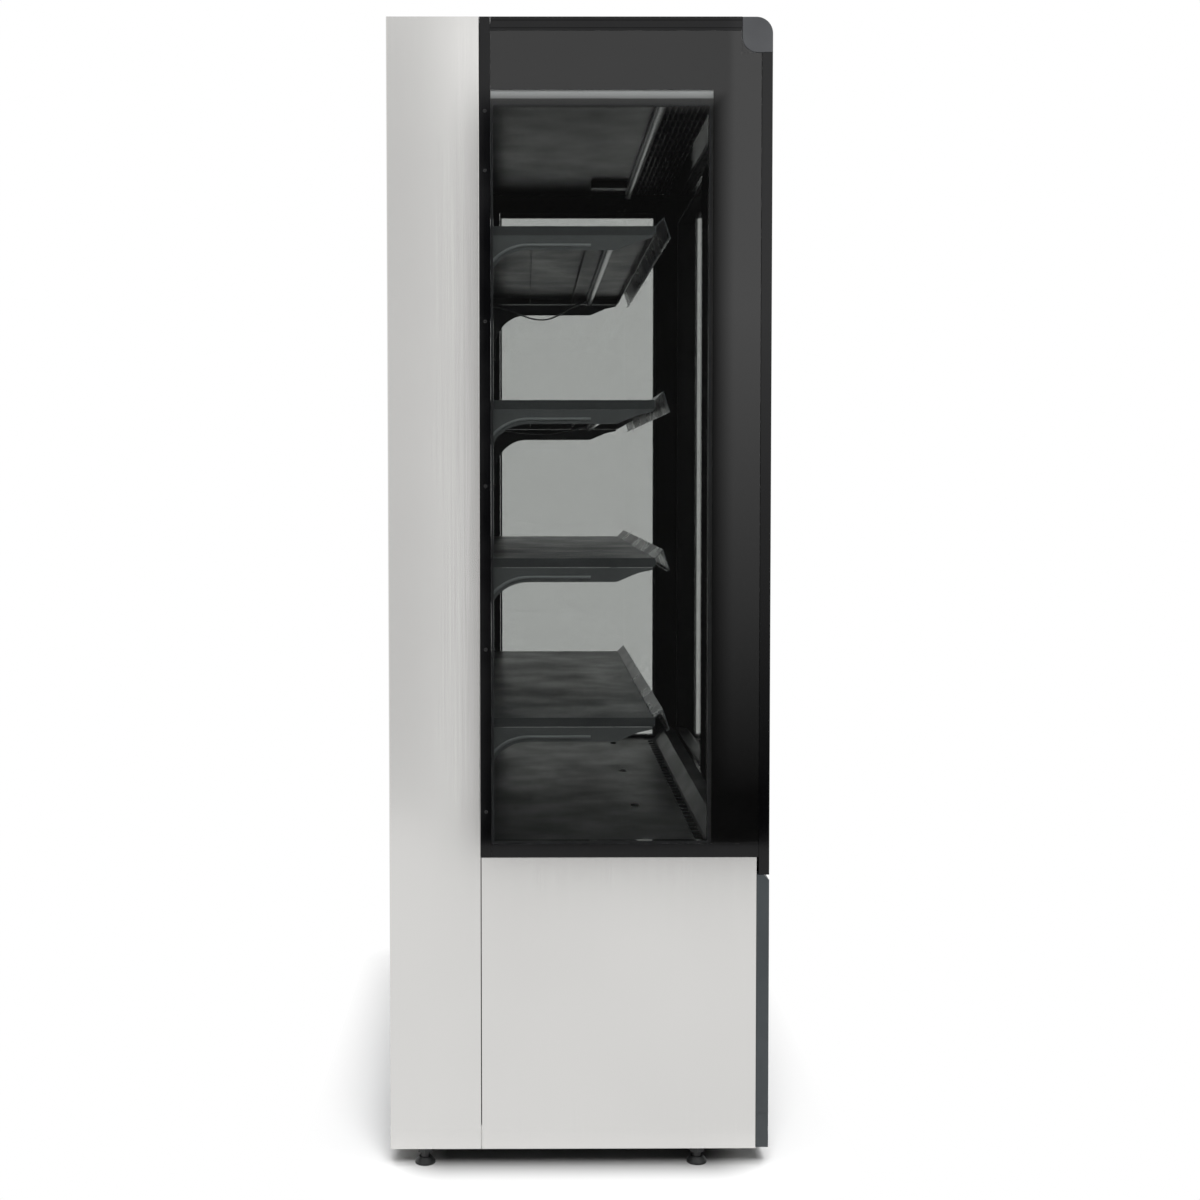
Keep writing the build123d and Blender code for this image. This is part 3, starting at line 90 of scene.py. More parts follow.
# The card that the near glass reflects, in metres
CARD_X = -3.62                      # it stands behind the camera
CARD_Y = (-1.9, 1.5)
CARD_TOP = 2.9
CARD_FOOT_X = -3.08                 # how far its velvet reaches forward on the floor
VELVET_END = 0.245                  # the velvet's rear edge
VELVET_BLEND = 0.02                 # width over which the rear reflector starts there


# Colours and materials


MATERIALS = {}


def linear(hex_text):
    """sRGB hex text to a linear colour with full alpha."""
    value = np.array([int(hex_text[i:i + 2], 16) for i in (1, 3, 5)]) / 255
    low, high = value / 12.92, ((value + 0.055) / 1.055) ** 2.4
    return (*np.where(value <= 0.04045, low, high).tolist(), 1.0)


def per_metre(size_mm):
    """The texture scale whose features are about this many millimetres wide."""
    return 1000.0 / size_mm


def add(tree, kind, links=None, **settings):
    """Adds one node; settings are its properties, links give each input a value or a socket."""
    made = tree.nodes.new(kind)
    for key, value in settings.items():
        setattr(made, key, value)
    for key, value in (links or {}).items():
        if isinstance(value, bpy.types.NodeSocket):
            tree.links.new(value, made.inputs[key])
        else:
            made.inputs[key].default_value = value
    return made


def new_material(name):
    """An empty node material and its tree."""
    material = bpy.data.materials.new(name)
    material.use_nodes = True
    material.node_tree.nodes.clear()
    return material, material.node_tree


def grained_metal(name, colour, rough, streak_mm, length_mm, along, depth, shade=0.06):
    """Metal with one direction of brushing: noise drawn out along an axis moves the
    roughness, the tone and the bump."""
    material, tree = new_material(name)
    scale = [per_metre(streak_mm)] * 3
    scale[along] = per_metre(length_mm)
    place = add(tree, "ShaderNodeTexCoord")
    drawn = add(
        tree, "ShaderNodeMapping", {"Vector": place.outputs["Object"], "Scale": scale},
    )
    grain = add(
        tree, "ShaderNodeTexNoise",
        {"Vector": drawn.outputs["Vector"], "Scale": 1.0, "Detail": 5.0, "Roughness": 0.62},
    )
    cloud = add(
        tree, "ShaderNodeTexNoise",
        {"Vector": place.outputs["Object"], "Scale": per_metre(420), "Detail": 2.0},
    )
    rough_map = add(
        tree, "ShaderNodeMapRange",
        {"Value": grain.outputs["Fac"], "From Min": 0.25, "From Max": 0.75,
         "To Min": rough - 0.04, "To Max": rough + 0.04},
    )
    tone = add(
        tree, "ShaderNodeMapRange",
        {"Value": grain.outputs["Fac"], "From Min": 0.3, "From Max": 0.7,
         "To Min": 1 - shade, "To Max": 1 + shade * 0.5},
    )
    slow = add(
        tree, "ShaderNodeMapRange",
        {"Value": cloud.outputs["Fac"], "From Min": 0.3, "From Max": 0.7,
         "To Min": 0.97, "To Max": 1.02},
    )
    both = add(
        tree, "ShaderNodeMath",
        {0: tone.outputs["Result"], 1: slow.outputs["Result"]}, operation="MULTIPLY",
    )
    base = add(
        tree, "ShaderNodeVectorMath",
        {0: linear(colour)[:3], "Scale": both.outputs["Value"]}, operation="SCALE",
    )
    bump = add(
        tree, "ShaderNodeBump",
        {"Height": grain.outputs["Fac"], "Strength": 0.5, "Distance": depth * MM},
    )
    shader = add(
        tree, "ShaderNodeBsdfPrincipled",
        {"Base Color": base.outputs["Vector"], "Metallic": 1.0,
         "Roughness": rough_map.outputs["Result"], "Normal": bump.outputs["Normal"]},
    )
    add(tree, "ShaderNodeOutputMaterial", {"Surface": shader.outputs["BSDF"]})
    return material


def mottled(name, colour, second, rough, size_mm, depth, metallic=0.0, spread=0.08, coat=0.0,
            ior=1.5):
    """A coated or moulded surface: fine noise gives peel or grain, coarse noise a slow
    change between two tones and in the roughness."""
    material, tree = new_material(name)
    place = add(tree, "ShaderNodeTexCoord")
    fine = add(
        tree, "ShaderNodeTexNoise",
        {"Vector": place.outputs["Object"], "Scale": per_metre(size_mm), "Detail": 3.0},
    )
    wide = add(
        tree, "ShaderNodeTexNoise",
        {"Vector": place.outputs["Object"], "Scale": per_metre(90), "Detail": 4.0},
    )
    tone = add(
        tree, "ShaderNodeMapRange",
        {"Value": wide.outputs["Fac"], "From Min": 0.3, "From Max": 0.7},
    )
    base = add(
        tree, "ShaderNodeMixRGB",
        {"Fac": tone.outputs["Result"], "Color1": linear(colour), "Color2": linear(second)},
    )
    rough_map = add(
        tree, "ShaderNodeMapRange",
        {"Value": wide.outputs["Fac"], "From Min": 0.3, "From Max": 0.7,
         "To Min": max(rough - spread, 0.02), "To Max": rough + spread},
    )
    bump = add(
        tree, "ShaderNodeBump",
        {"Height": fine.outputs["Fac"], "Strength": 0.6, "Distance": depth * MM},
    )
    shader = add(
        tree, "ShaderNodeBsdfPrincipled",
        {"Base Color": base.outputs["Color"], "Metallic": metallic, "IOR": ior,
         "Roughness": rough_map.outputs["Result"], "Coat Weight": coat, "Coat Roughness": 0.04,
         "Normal": bump.outputs["Normal"]},
    )
    add(tree, "ShaderNodeOutputMaterial", {"Surface": shader.outputs["BSDF"]})
    return material


def clear_pane(name, colour):
    """Float glass: a smooth tinted pane whose slow waviness bends reflections a little.
    Shadow rays pass, so light reaches what stands behind the pane."""
    material, tree = new_material(name)
    place = add(tree, "ShaderNodeTexCoord")
    wave = add(
        tree, "ShaderNodeTexNoise",
        {"Vector": place.outputs["Object"], "Scale": per_metre(260), "Detail": 1.0},
    )
    bump = add(
        tree, "ShaderNodeBump",
        {"Height": wave.outputs["Fac"], "Strength": 0.1, "Distance": 0.02 * MM},
    )
    shader = add(
        tree, "ShaderNodeBsdfPrincipled",
        {"Base Color": linear(colour), "Roughness": 0.0, "IOR": 1.5,
         "Transmission Weight": 1.0, "Normal": bump.outputs["Normal"]},
    )
    ray = add(tree, "ShaderNodeLightPath")
    clear = add(tree, "ShaderNodeBsdfTransparent", {"Color": linear(colour)})
    mix = add(
        tree, "ShaderNodeMixShader",
        {0: ray.outputs["Is Shadow Ray"], 1: shader.outputs["BSDF"], 2: clear.outputs["BSDF"]},
    )
    add(tree, "ShaderNodeOutputMaterial", {"Surface": mix.outputs["Shader"]})
    return material


def graded(name, upper, lower, z_low, z_high, rough):
    """A satin strip whose painted reflection runs from one colour at its top edge to another at its
    foot.
    """
    material, tree = new_material(name)
    place = add(tree, "ShaderNodeTexCoord")
    split = add(tree, "ShaderNodeSeparateXYZ", {"Vector": place.outputs["Object"]})
    height = add(
        tree, "ShaderNodeMapRange",
        {"Value": split.outputs["Z"], "From Min": z_low, "From Max": z_high},
    )
    base = add(
        tree, "ShaderNodeMixRGB",
        {"Fac": height.outputs["Result"], "Color1": linear(lower), "Color2": linear(upper)},
    )
    speck = add(
        tree, "ShaderNodeTexNoise",
        {"Vector": place.outputs["Object"], "Scale": per_metre(2), "Detail": 2.0},
    )
    rough_map = add(
        tree, "ShaderNodeMapRange",
        {"Value": speck.outputs["Fac"], "To Min": rough - 0.05, "To Max": rough + 0.05},
    )
    shader = add(
        tree, "ShaderNodeBsdfPrincipled",
        {"Base Color": base.outputs["Color"], "Roughness": rough_map.outputs["Result"]},
    )
    add(tree, "ShaderNodeOutputMaterial", {"Surface": shader.outputs["BSDF"]})
    return material


def make_materials():
    """Every finish of the fridge, by the name that the pieces use."""
    return {
        # Sheet ground along its length: soft vertical streaks that blur what they mirror
        "stainless": grained_metal(
            "Stainless sheet, vertically brushed", "#D6D5D3", 0.15, 1.1, 260, 2, 0.003, 0.014),
        # Hot dipped sheet: dull grey with faint cloudy spangle, drawn as soft patches
        "galvanised": mottled(
            "Galvanised sheet, hot dipped", "#A6A9AB", "#989C9E", 0.44, 6, 0.03, 0.85, 0.05),
        # Epoxy powder baked on steel: fine peel, soft highlight
        "white_coat": mottled(
            "Steel, pale powder coat", "#D6D6D3", "#CDCDCB", 0.46, 1.6, 0.05),
        "grey_coat": mottled(
            "Steel, slate grey powder coat", "#353A3D", "#303538", 0.42, 1.4, 0.05),
        "dark_coat": mottled(
            "Steel, charcoal powder coat", "#424446", "#393B3D", 0.40, 1.4, 0.06),
        # Painted light: the brackets get a paler copy of the charcoal coat, and fine peel catches
        # light on their beads
        "bracket_painted_light_coat": mottled(
            "Steel, graphite powder coat with painted light", "#5C5E60", "#525456", 0.38, 1.4, 0.05),
        # Painted highlight: the beads' crowns get a still paler copy of the brackets' coat
        "bead_painted_highlight": mottled(
            "Steel, painted highlight on graphite powder coat", "#8A8D8F", "#7C7F81", 0.34, 1.4, 0.04),
        # Painted shade: the deck's plates and the return grille get a darker coat than the shelves
        "deck_painted_shade_coat": mottled(
            "Steel, black powder coat with painted shade", "#1F2021", "#191A1B", 0.40, 1.4, 0.06),
        # Stoved black enamel on the liner: it mirrors the shelves faintly
        "black_enamel": mottled(
            "Steel, stoved black enamel", "#0F1010", "#0B0C0C", 0.33, 3, 0.02, 0, 0.05,
            ior=1.3),
        # The profile's dyed oxide layer is glossy, and the metal doesn't show through it
        "black_profile": mottled(
            "Aluminium profile, black anodised", "#040405", "#060607", 0.06, 5, 0.006, 0, 0.02,
            ior=1.33),
        # Ceramic ink fired on the pane: deep black with the gloss of the glass
        "print": mottled(
            "Fired black ceramic print", "#050505", "#070707", 0.03, 30, 0.0, 0, 0.015),
        # Moulded, turned and extruded plastics: a faint grain and a soft highlight
        "cap": mottled(
            "ABS, fine moulded grain", "#343537", "#2E2F31", 0.50, 0.9, 0.07),
        "black_plastic": mottled(
            "Polypropylene, moulded black", "#1A1B1C", "#131415", 0.40, 1.2, 0.05),
        "foam": mottled(
            "ABS liner, vacuum formed", "#C9CBCA", "#BFC1C0", 0.40, 4, 0.03),
        "nylon": mottled(
            "Nylon, turned", "#DAD8D0", "#CFCDC5", 0.38, 1.0, 0.02),
        "ticket": mottled(
            "PVC rail, extruded grey", "#595C5F", "#4F5255", 0.30, 3, 0.02),
        "lead": mottled(
            "Flexible PVC jacket", "#9A9C9D", "#8B8D8E", 0.40, 1.0, 0.03),
        # The diffuser's frost scatters light under the gloss of its skin
        "frosted": mottled(
            "Polycarbonate, frosted diffuser", "#F6F8F8", "#EEF0F0", 0.22, 1.5, 0.02, 0, 0.05,
            0.6),
        # Smoked acrylic is polished, so the window mirrors like glass
        "display": mottled(
            "Acrylic window, smoked", "#0A0C0D", "#0D0F10", 0.06, 20, 0.0, 0, 0.02),
        # Rubber, silicone and pile: too rough to mirror anything
        "rubber": mottled(
            "EPDM seal, extruded", "#101010", "#181818", 0.62, 0.8, 0.05),
        "key": mottled(
            "Silicone key, moulded", "#4A4D50", "#424548", 0.55, 1.0, 0.02),
        "pile": mottled(
            "Nylon pile, woven black", "#141414", "#1C1C1C", 0.85, 0.5, 0.3),
        # Bare and plated metals: satin from rolling, drawing or plating, without a coat's peel
        "fins": grained_metal(
            "Aluminium fin stock, rolled", "#B9BBBC", 0.38, 1.2, 60, 2, 0.05),
        "copper": mottled(
            "Copper tube, drawn", "#B87348", "#9C5B37", 0.30, 5, 0.02, 1.0, 0.08),
        "zinc": mottled(
            "Steel, zinc plated", "#A3A6A8", "#8F9294", 0.32, 2, 0.02, 1.0, 0.08),
        "spacer": grained_metal(
            "Aluminium spacer bar, dark anodised", "#3A3B3C", 0.45, 1.0, 60, 2, 0.02),
        "black_screw": mottled(
            "Steel, black oxide", "#0D0D0E", "#121213", 0.25, 1.0, 0.02),
        # Enamel on the compressor's pressed shell has a thin clear gloss
        "compressor": mottled(
            "Pressed steel, black enamel", "#0E0E0F", "#151516", 0.28, 2.5, 0.06, 0, 0.06, 0.3),
        # Painted reflection: a pale strip above the inner pane, lighter at its top and fading into
        # the sealant
        "reflection_strip": graded(
            "Glass strip with painted reflection", "#8E9090", "#5C5D5D", *STRIP_FADE, 0.45),
        # Tinted units: each pane takes about a fifth of the light that passes
        "glass": clear_pane("Float glass, grey tint", "#E8E9E8"),
    }


CAD_FINISH = {
    "stainless": ["rear_column_left", "rear_column_right", "side_panel_left",
                  "side_panel_right"],
    "white_coat": ["roof_panel", "back_panel", "base_frame"],
    "grey_coat": ["lower_front_panel", "kick_plate"],
    "dark_coat": ["shelf_1", "shelf_2", "shelf_3", "shelf_4", "shelf_uprights", "duct_wall",
                  "fan_plate"],
    # The brackets' paler coat is painted light
    "bracket_painted_light_coat": ["shelf_brackets"],
    # The deck's darker coat is painted shade
    "deck_painted_shade_coat": ["deck_plates", "return_grille"],
    "black_enamel": ["ceiling_liner"],
    "galvanised": ["rear_grille", "condenser_shroud", "control_box"],
    "black_profile": ["window_frames", "front_posts", "front_header", "door_left_frame",
                      "door_right_frame", "door_head", "door_sill"],
    "cap": ["corner_caps"],
    "black_plastic": ["air_outlet", "light_switch", "controller", "switch_rocker",
                      "evaporator_fan_left", "evaporator_fan_right", "condenser_fan",
                      "drip_tray", "fan_motors", "foot_front_left", "foot_front_right",
                      "foot_rear_left", "foot_rear_right"],
    "glass": ["side_glass_left", "side_glass_right", "door_left_glass", "door_right_glass"],
    "ticket": ["ticket_rails"],
    "frosted": ["lamps"],
    "nylon": ["door_left_roller_a", "door_left_roller_b", "door_right_roller_a",
              "door_right_roller_b"],
    "foam": ["insulated_tub"],
    "fins": ["evaporator_coil", "condenser_coil"],
    "copper": ["refrigerant_pipes"],
    "compressor": ["compressor"],
    "lead": ["lamp_leads"],
}


# Shapes as arrays


def grid_faces(rows, columns, round_rows=False):
    """Quads between neighbouring points of a grid. Its columns always run round, and its last
    row joins the first one where the rows do too."""
    i = np.arange(rows if round_rows else rows - 1)[:, None]
    j = np.arange(columns)[None, :]
    i2, j2 = (i + 1) % rows, (j + 1) % columns
    quads = [i * columns + j, i2 * columns + j, i2 * columns + j2, i * columns + j2]
    return np.stack(quads, -1).reshape(-1, 4)


def copied(points, faces, places):
    """One shape repeated at many offsets: every point plus every place, faces counted on."""
    places = np.asarray(places, float)
    all_points = (points[None, :, :] + places[:, None, :]).reshape(-1, 3)
    starts = range(0, len(all_points), len(points))
    return all_points, [[k + start for k in face] for start in starts for face in faces]


def joined(*shapes):
    """Several shapes as one: points stacked, faces counted on."""
    points, faces, start = [], [], 0
    for shape_points, shape_faces in shapes:
        points.append(shape_points)
        faces += [[k + start for k in face] for face in shape_faces]
        start += len(shape_points)
    return np.vstack(points), faces


def carried(profile, path, closed=True):
    """A closed profile carried along a path of mitred runs. profile is (n, 2) as side and up;
    at each path point the side axis is the mean of the two runs' normals, lengthened by the
    mitre, and the up axis is the path's own normal to its plane."""
    path = np.asarray(path, float)
    run = np.roll(path, -1, 0) - path
    if not closed:
        run[-1] = run[-2]
    run /= np.linalg.norm(run, axis=1)[:, None]
    before = np.roll(run, 1, 0)
    if not closed:
        before[0] = run[0]
    up = np.cross(run[0], run[1]) if closed else np.array([1.0, 0, 0])
    up /= np.linalg.norm(up)
    side = np.cross(up, run) + np.cross(up, before)
    side /= np.linalg.norm(side, axis=1)[:, None]
    stretch = 1 / np.einsum("ij,ij->i", side, np.cross(up, run))
    profile = np.asarray(profile, float)
    points = (path[:, None, :] + profile[None, :, :1] * (side * stretch[:, None])[:, None, :]
              + profile[None, :, 1:] * up[None, None, :])
    n = len(profile)
    faces = grid_faces(len(path), n, closed).tolist()
    if not closed:
        faces += [list(range(n))[::-1], [(len(path) - 1) * n + k for k in range(n)]]
    return points.reshape(-1, 3), faces


def rectangle(low, high):
    """The four corners (a, b) of a rectangle, in order round it from its lowest."""
    (a0, b0), (a1, b1) = low, high
    return [(a0, b0), (a1, b0), (a1, b1), (a0, b1)]


def plate(outline, low, high, axis=0):
    """A flat outline of (a, b) points given a thickness between two values on one axis."""
    outline = np.asarray(outline, float)
    n = len(outline)
    points = np.insert(np.vstack([outline, outline]), axis, np.repeat([low, high], n), axis=1)
    faces = [list(range(n))[::-1], list(range(n, 2 * n))]
    faces += [[k, (k + 1) % n, (k + 1) % n + n, k + n] for k in range(n)]
    return points, faces


def side_plate(outline, sign, outer, inner):
    """A plate of one side wall, between two distances from the cabinet's middle plane."""
    return plate(outline, *sorted((sign * outer, sign * inner)))


def rounded_box(low, high, radius):
    """A box with rounded edges: the points of a sphere, each pushed out towards its own corner
    by the box's half size less the radius."""
    low, high = np.asarray(low, float), np.asarray(high, float)
    turn = np.linspace(0, 2 * np.pi, 16, endpoint=False) + np.pi / 16
    lift = np.linspace(-np.pi / 2, np.pi / 2, 8)[1:-1]
    ball = np.stack([
        np.cos(lift)[:, None] * np.cos(turn)[None, :],
        np.cos(lift)[:, None] * np.sin(turn)[None, :],
        np.broadcast_to(np.sin(lift)[:, None], (len(lift), len(turn))),
    ], -1).reshape(-1, 3)
    middle, half = (low + high) / 2, (high - low) / 2 - radius
    points = middle + ball * radius + np.sign(ball) * half
    faces = grid_faces(len(lift), len(turn))[:, ::-1].tolist()
    faces.append(list(range(len(turn)))[::-1])
    faces.append([(len(lift) - 1) * len(turn) + k for k in range(len(turn))])
    return points, faces


def ring(low, high, width, near, far):
    """A rectangular ring between two corners (x, z), width inwards, from near to far on the y
    axis: four corners outside and four inside, joined by mitred bars."""
    (x0, z0), (x1, z1) = low, high
    outer = rectangle(low, high)
    inner = rectangle((x0 + width, z0 + width), (x1 - width, z1 - width))
    flat = np.stack([outer, inner, inner, outer], 1).reshape(-1, 2)
    points = np.insert(flat, 1, np.tile([near, near, far, far], 4), axis=1)
    return points, grid_faces(4, 4, True).tolist()


def screw_head(radius, rise, axis, sign):
    """A pan head with a cross recess: height = rise * (1 - (r/radius)^4)^0.5, less a recess
    that follows the smaller of the two distances to the cross's centre lines."""
    rows, columns = 16, 40
    r = np.linspace(1, 0, rows)[:, None] * radius
    angle = np.linspace(0, 2 * np.pi, columns, endpoint=False)[None, :]
    a, b = r * np.cos(angle), r * np.sin(angle)
    dome = rise * np.sqrt(np.clip(1 - (r / radius) ** 4, 0, 1))
    narrow, wide = np.minimum(abs(a), abs(b)), np.maximum(abs(a), abs(b))
    cut = np.clip((0.17 * radius - narrow) / (0.06 * radius), 0, 1)
    cut = cut * np.clip((0.62 * radius - wide) / (0.10 * radius), 0, 1)
    points = np.stack([a, b, dome - 0.55 * rise * cut], -1).reshape(-1, 3)
    # The innermost row is one point, the pole, and the outermost row closes the back
    pole = (rows - 1) * columns
    points = points[:pole + 1]
    inmost = range(pole - columns, pole)
    faces = grid_faces(rows - 1, columns).tolist()
    faces += [[k, follows, pole] for k, follows in zip(inmost, [*inmost[1:], inmost[0]])]
    faces.append(list(range(columns)))
    order = {0: [2, 0, 1], 1: [0, 2, 1], 2: [0, 1, 2]}[axis]
    points = points[:, order]
    points[:, axis] *= sign
    return points, faces


def put(name, shape, finish, body=CABINET, replaces=()):
    """Makes the piece's mesh and object, turns its faces outwards and fixes it to its body."""
    points, faces = shape
    mesh = bpy.data.meshes.new(name)
    mesh.from_pydata(points.tolist(), [], faces)
    mesh.validate()
    work = bmesh.new()
    work.from_mesh(mesh)
    bmesh.ops.remove_doubles(work, verts=work.verts, dist=1e-6)
    bmesh.ops.recalc_face_normals(work, faces=work.faces)
    work.to_mesh(mesh)
    work.free()
    mesh.shade_smooth()
    mesh.set_sharp_from_angle(angle=SHARP)
    mesh.materials.append(MATERIALS[finish])
    piece = bpy.data.objects.new(name, mesh)
    bpy.context.scene.collection.objects.link(piece)
    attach(piece, body)
    if replaces:
        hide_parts(*replaces)


# Sizes and colours that a user may change


class FridgeSizes(bpy.types.PropertyGroup):
    """Sizes of the pieces that dress the fridge."""

    print_front: bpy.props.FloatProperty(
        name="Print at the front", description="Width of the black print along the glass front",
        default=0.0813, min=0.0, unit="LENGTH")
    print_top: bpy.props.FloatProperty(
        name="Print at the top", description="Height of the black print under the top rail",
        default=0.0985, min=0.0, unit="LENGTH")
    cap_round: bpy.props.FloatProperty(
        name="Cap corner", description="Radius of the corner cap's lower rear corner",
        default=0.0260, min=0.001, unit="LENGTH")
    spacer_line: bpy.props.FloatProperty(
        name="Spacer width", description="Visible width of the dark spacer round the unit",
        default=0.0040, min=0.001, unit="LENGTH")
    unit_step: bpy.props.FloatProperty(
        name="Unit step", description="How far the inner pane ends below the outer one",
        default=0.1132, min=0.0, unit="LENGTH")
    sealant_top: bpy.props.FloatProperty(
        name="Sealant at the top", description="Height of the dark sealant over the spacer",
        default=0.0074, min=0.0, unit="LENGTH")
    sealant_front: bpy.props.FloatProperty(
        name="Sealant at the front", description="Width of the dark sealant ahead of the spacer",
        default=0.0029, min=0.0, unit="LENGTH")
    bead: bpy.props.FloatProperty(
        name="Glazing bead", description="Width of the rubber bead round each door pane",
        default=0.0030, min=0.001, unit="LENGTH")
    screw_radius: bpy.props.FloatProperty(
        name="Screw head", description="Radius of the pan head screws",
        default=0.0040, min=0.001, unit="LENGTH")
    pane: bpy.props.FloatProperty(
        name="Door pane", description="Thickness of each pane in the doors",
        default=0.004, min=0.002, unit="LENGTH")
    lead_radius: bpy.props.FloatProperty(
        name="Lamp lead", description="Radius of the lamps' leads",
        default=0.0018, min=0.0005, unit="LENGTH")


class FridgeColours(bpy.types.PropertyGroup):
    """Colours of the stage round the fridge."""

    floor: bpy.props.FloatVectorProperty(
        name="Floor", description="Colour of the floor", subtype="COLOR", size=3,
        default=(0.95, 0.95, 0.95), min=0.0, max=1.0)
    surroundings: bpy.props.FloatProperty(
        name="Surroundings", description="Strength of the surroundings where they give light",
        default=0.18, min=0.0, max=1.0)


# One operator for each piece or group of like pieces


class FRIDGE_OT_cad_finishes(bpy.types.Operator):
    """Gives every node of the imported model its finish"""

    bl_idname = "fridge.cad_finishes"
    bl_label = "Finish the cabinet's parts"

    def execute(self, context):
        left = set(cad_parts)
        for finish, names in CAD_FINISH.items():
            for name in names:
                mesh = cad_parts[name].data
                mesh.materials.clear()
                mesh.materials.append(MATERIALS[finish])
                left.discard(name)
        if left:
            raise RuntimeError(f"no finish for {sorted(left)}")
        return {"FINISHED"}


class FRIDGE_OT_glass_print(bpy.types.Operator):
    """Black fired print on the side panes, along the front and under the top rail"""

    bl_idname = "fridge.glass_print"
    bl_label = "Print the side glass"

    def execute(self, context):
        sizes = context.scene.fridge_sizes
        cap_low, cap_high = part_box("corner_caps")
        notch = 3 * EDGE                    # gap between the cap and the notch in the print
        for side, sign in SIDES:
            low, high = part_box(f"side_glass_{side}")
            y0, y1 = low.y + EDGE, high.y - EDGE
            z0, z1 = low.z + EDGE, high.z - EDGE
            y_in, z_in = y0 + sizes.print_front, z1 - sizes.print_top
            notch_y, notch_z = cap_high.y + notch, cap_low.z - notch
            outline = [(y0, z0), (y_in, z0), (y_in, z_in), (y1, z_in), (y1, z1),
                       (notch_y, z1), (notch_y, notch_z), (y0, notch_z)]
            put(f"glass_print_{side}",
                side_plate(outline, sign, PANE_FACE + BITE, PANE_FACE - EDGE),
                "print")
            # The fillet between the cap's rounded corner and the pane's square notch
            reach = sizes.cap_round + EDGE
            middle_y, middle_z = cap_high.y - sizes.cap_round, cap_low.z + sizes.cap_round
            arc = np.linspace(-np.pi / 2, 0, 14)
            wedge = list(zip(middle_y + reach * np.cos(arc), middle_z + reach * np.sin(arc)))
            wedge.append((cap_high.y + EDGE, cap_low.z - EDGE))
            put(f"cap_fillet_{side}",
                side_plate(wedge, sign, PANE_FACE + BITE, PANE_BACK - EDGE),
                "print")
        return {"FINISHED"}


class FRIDGE_OT_glass_spacers(bpy.types.Operator):
    """Dark spacer and sealant of each side unit, and the pale strip of painted reflection along its
    inner pane
    """

    bl_idname = "fridge.glass_spacers"
    bl_label = "Fit the glass spacers"

    def execute(self, context):
        sizes = context.scene.fridge_sizes
        lap = 0.1 * MM                      # how far the spacer reaches into the sealant
        outer, inner = PANE_BACK + BITE, UNIT_BACK - BITE
        for side, sign in SIDES:
            low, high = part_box(f"side_glass_{side}")
            y0, y1 = low.y + sizes.print_front + sizes.sealant_front, high.y - EDGE
            z0, z1 = low.z + EDGE, high.z - sizes.unit_step - sizes.sealant_top
            path = [(0, y, z) for y, z in rectangle((y0, z0), (y1, z1))]
            section = rectangle((-lap, sign * outer), (sizes.spacer_line, sign * inner))
            put(f"glass_spacer_{side}", carried(section, path), "spacer")
            y_edge, z_edge = y0 - sizes.sealant_front, z1 + sizes.sealant_top
            sealant = [(y0, z1), (y1, z1), (y1, z_edge), (y_edge, z_edge), (y_edge, z0),
                       (y0, z0)]
            put(f"glass_sealant_{side}", side_plate(sealant, sign, outer, inner), "rubber")
            # A pale plate behind the outer pane, carrying a painted reflection that fades downwards
            strip = rectangle((y_edge, z_edge + EDGE), (y1, high.z - sizes.print_top - EDGE))
            put(f"glass_edge_strip_{side}", side_plate(strip, sign, outer, PANE_BACK - EDGE),
                "reflection_strip")
        return {"FINISHED"}


class FRIDGE_OT_door_panes(bpy.types.Operator):
    """Each leaf's double glazing: two thin panes, a spacer between them and its sealant"""

    bl_idname = "fridge.door_panes"
    bl_label = "Glaze the doors"

    def execute(self, context):
        pane = context.scene.fridge_sizes.pane
        for side, body in LEAF_BODY.items():
            low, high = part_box(f"door_{side}_glass")
            face = rectangle((low.x, low.z), (high.x, high.z))
            front, back = low.y + pane, high.y - pane
            panes = joined(plate(face, low.y, front, 1), plate(face, back, high.y, 1))
            put(f"door_{side}_panes", panes, "glass", body,
                replaces=(f"door_{side}_glass",))
            inset = 0.5 * MM
            for name, wide, finish in (("sealant", 6 * MM, "rubber"), ("spacer", 7 * MM, "spacer")):
                bars = ring((low.x + inset, low.z + inset), (high.x - inset, high.z - inset),
                            wide, front, back)
                put(f"door_{side}_{name}", bars, finish, body)
                inset += wide
        return {"FINISHED"}


class FRIDGE_OT_door_beads(bpy.types.Operator):
    """Rubber glazing beads on both faces of each leaf"""

    bl_idname = "fridge.door_beads"
    bl_label = "Fit the door beads"

    def execute(self, context):
        bead = context.scene.fridge_sizes.bead
        rise = 1.2 * MM
        held = 7.7 * MM                     # width of the pane's edge inside the frame
        sunk = 0.3 * MM                     # how far the bead's back reaches into the frame
        # Quarter round: full against the frame, tapering on to the pane
        arc = np.linspace(0, np.pi / 2, 6)[1:]
        profile = [(-sunk, 0), (-sunk, rise), *zip(bead * np.sin(arc), rise * np.cos(arc))]
        for side, body in LEAF_BODY.items():
            low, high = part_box(f"door_{side}_glass")
            sight = rectangle((low.x + held, low.z + held), (high.x - held, high.z - held))
            beads = [
                carried([(a, -b * out) for a, b in profile], [(x, face, z) for x, z in sight])
                for face, out in ((low.y, -1), (high.y, 1))
            ]
            put(f"door_{side}_beads", joined(*beads), "rubber", body)
        return {"FINISHED"}


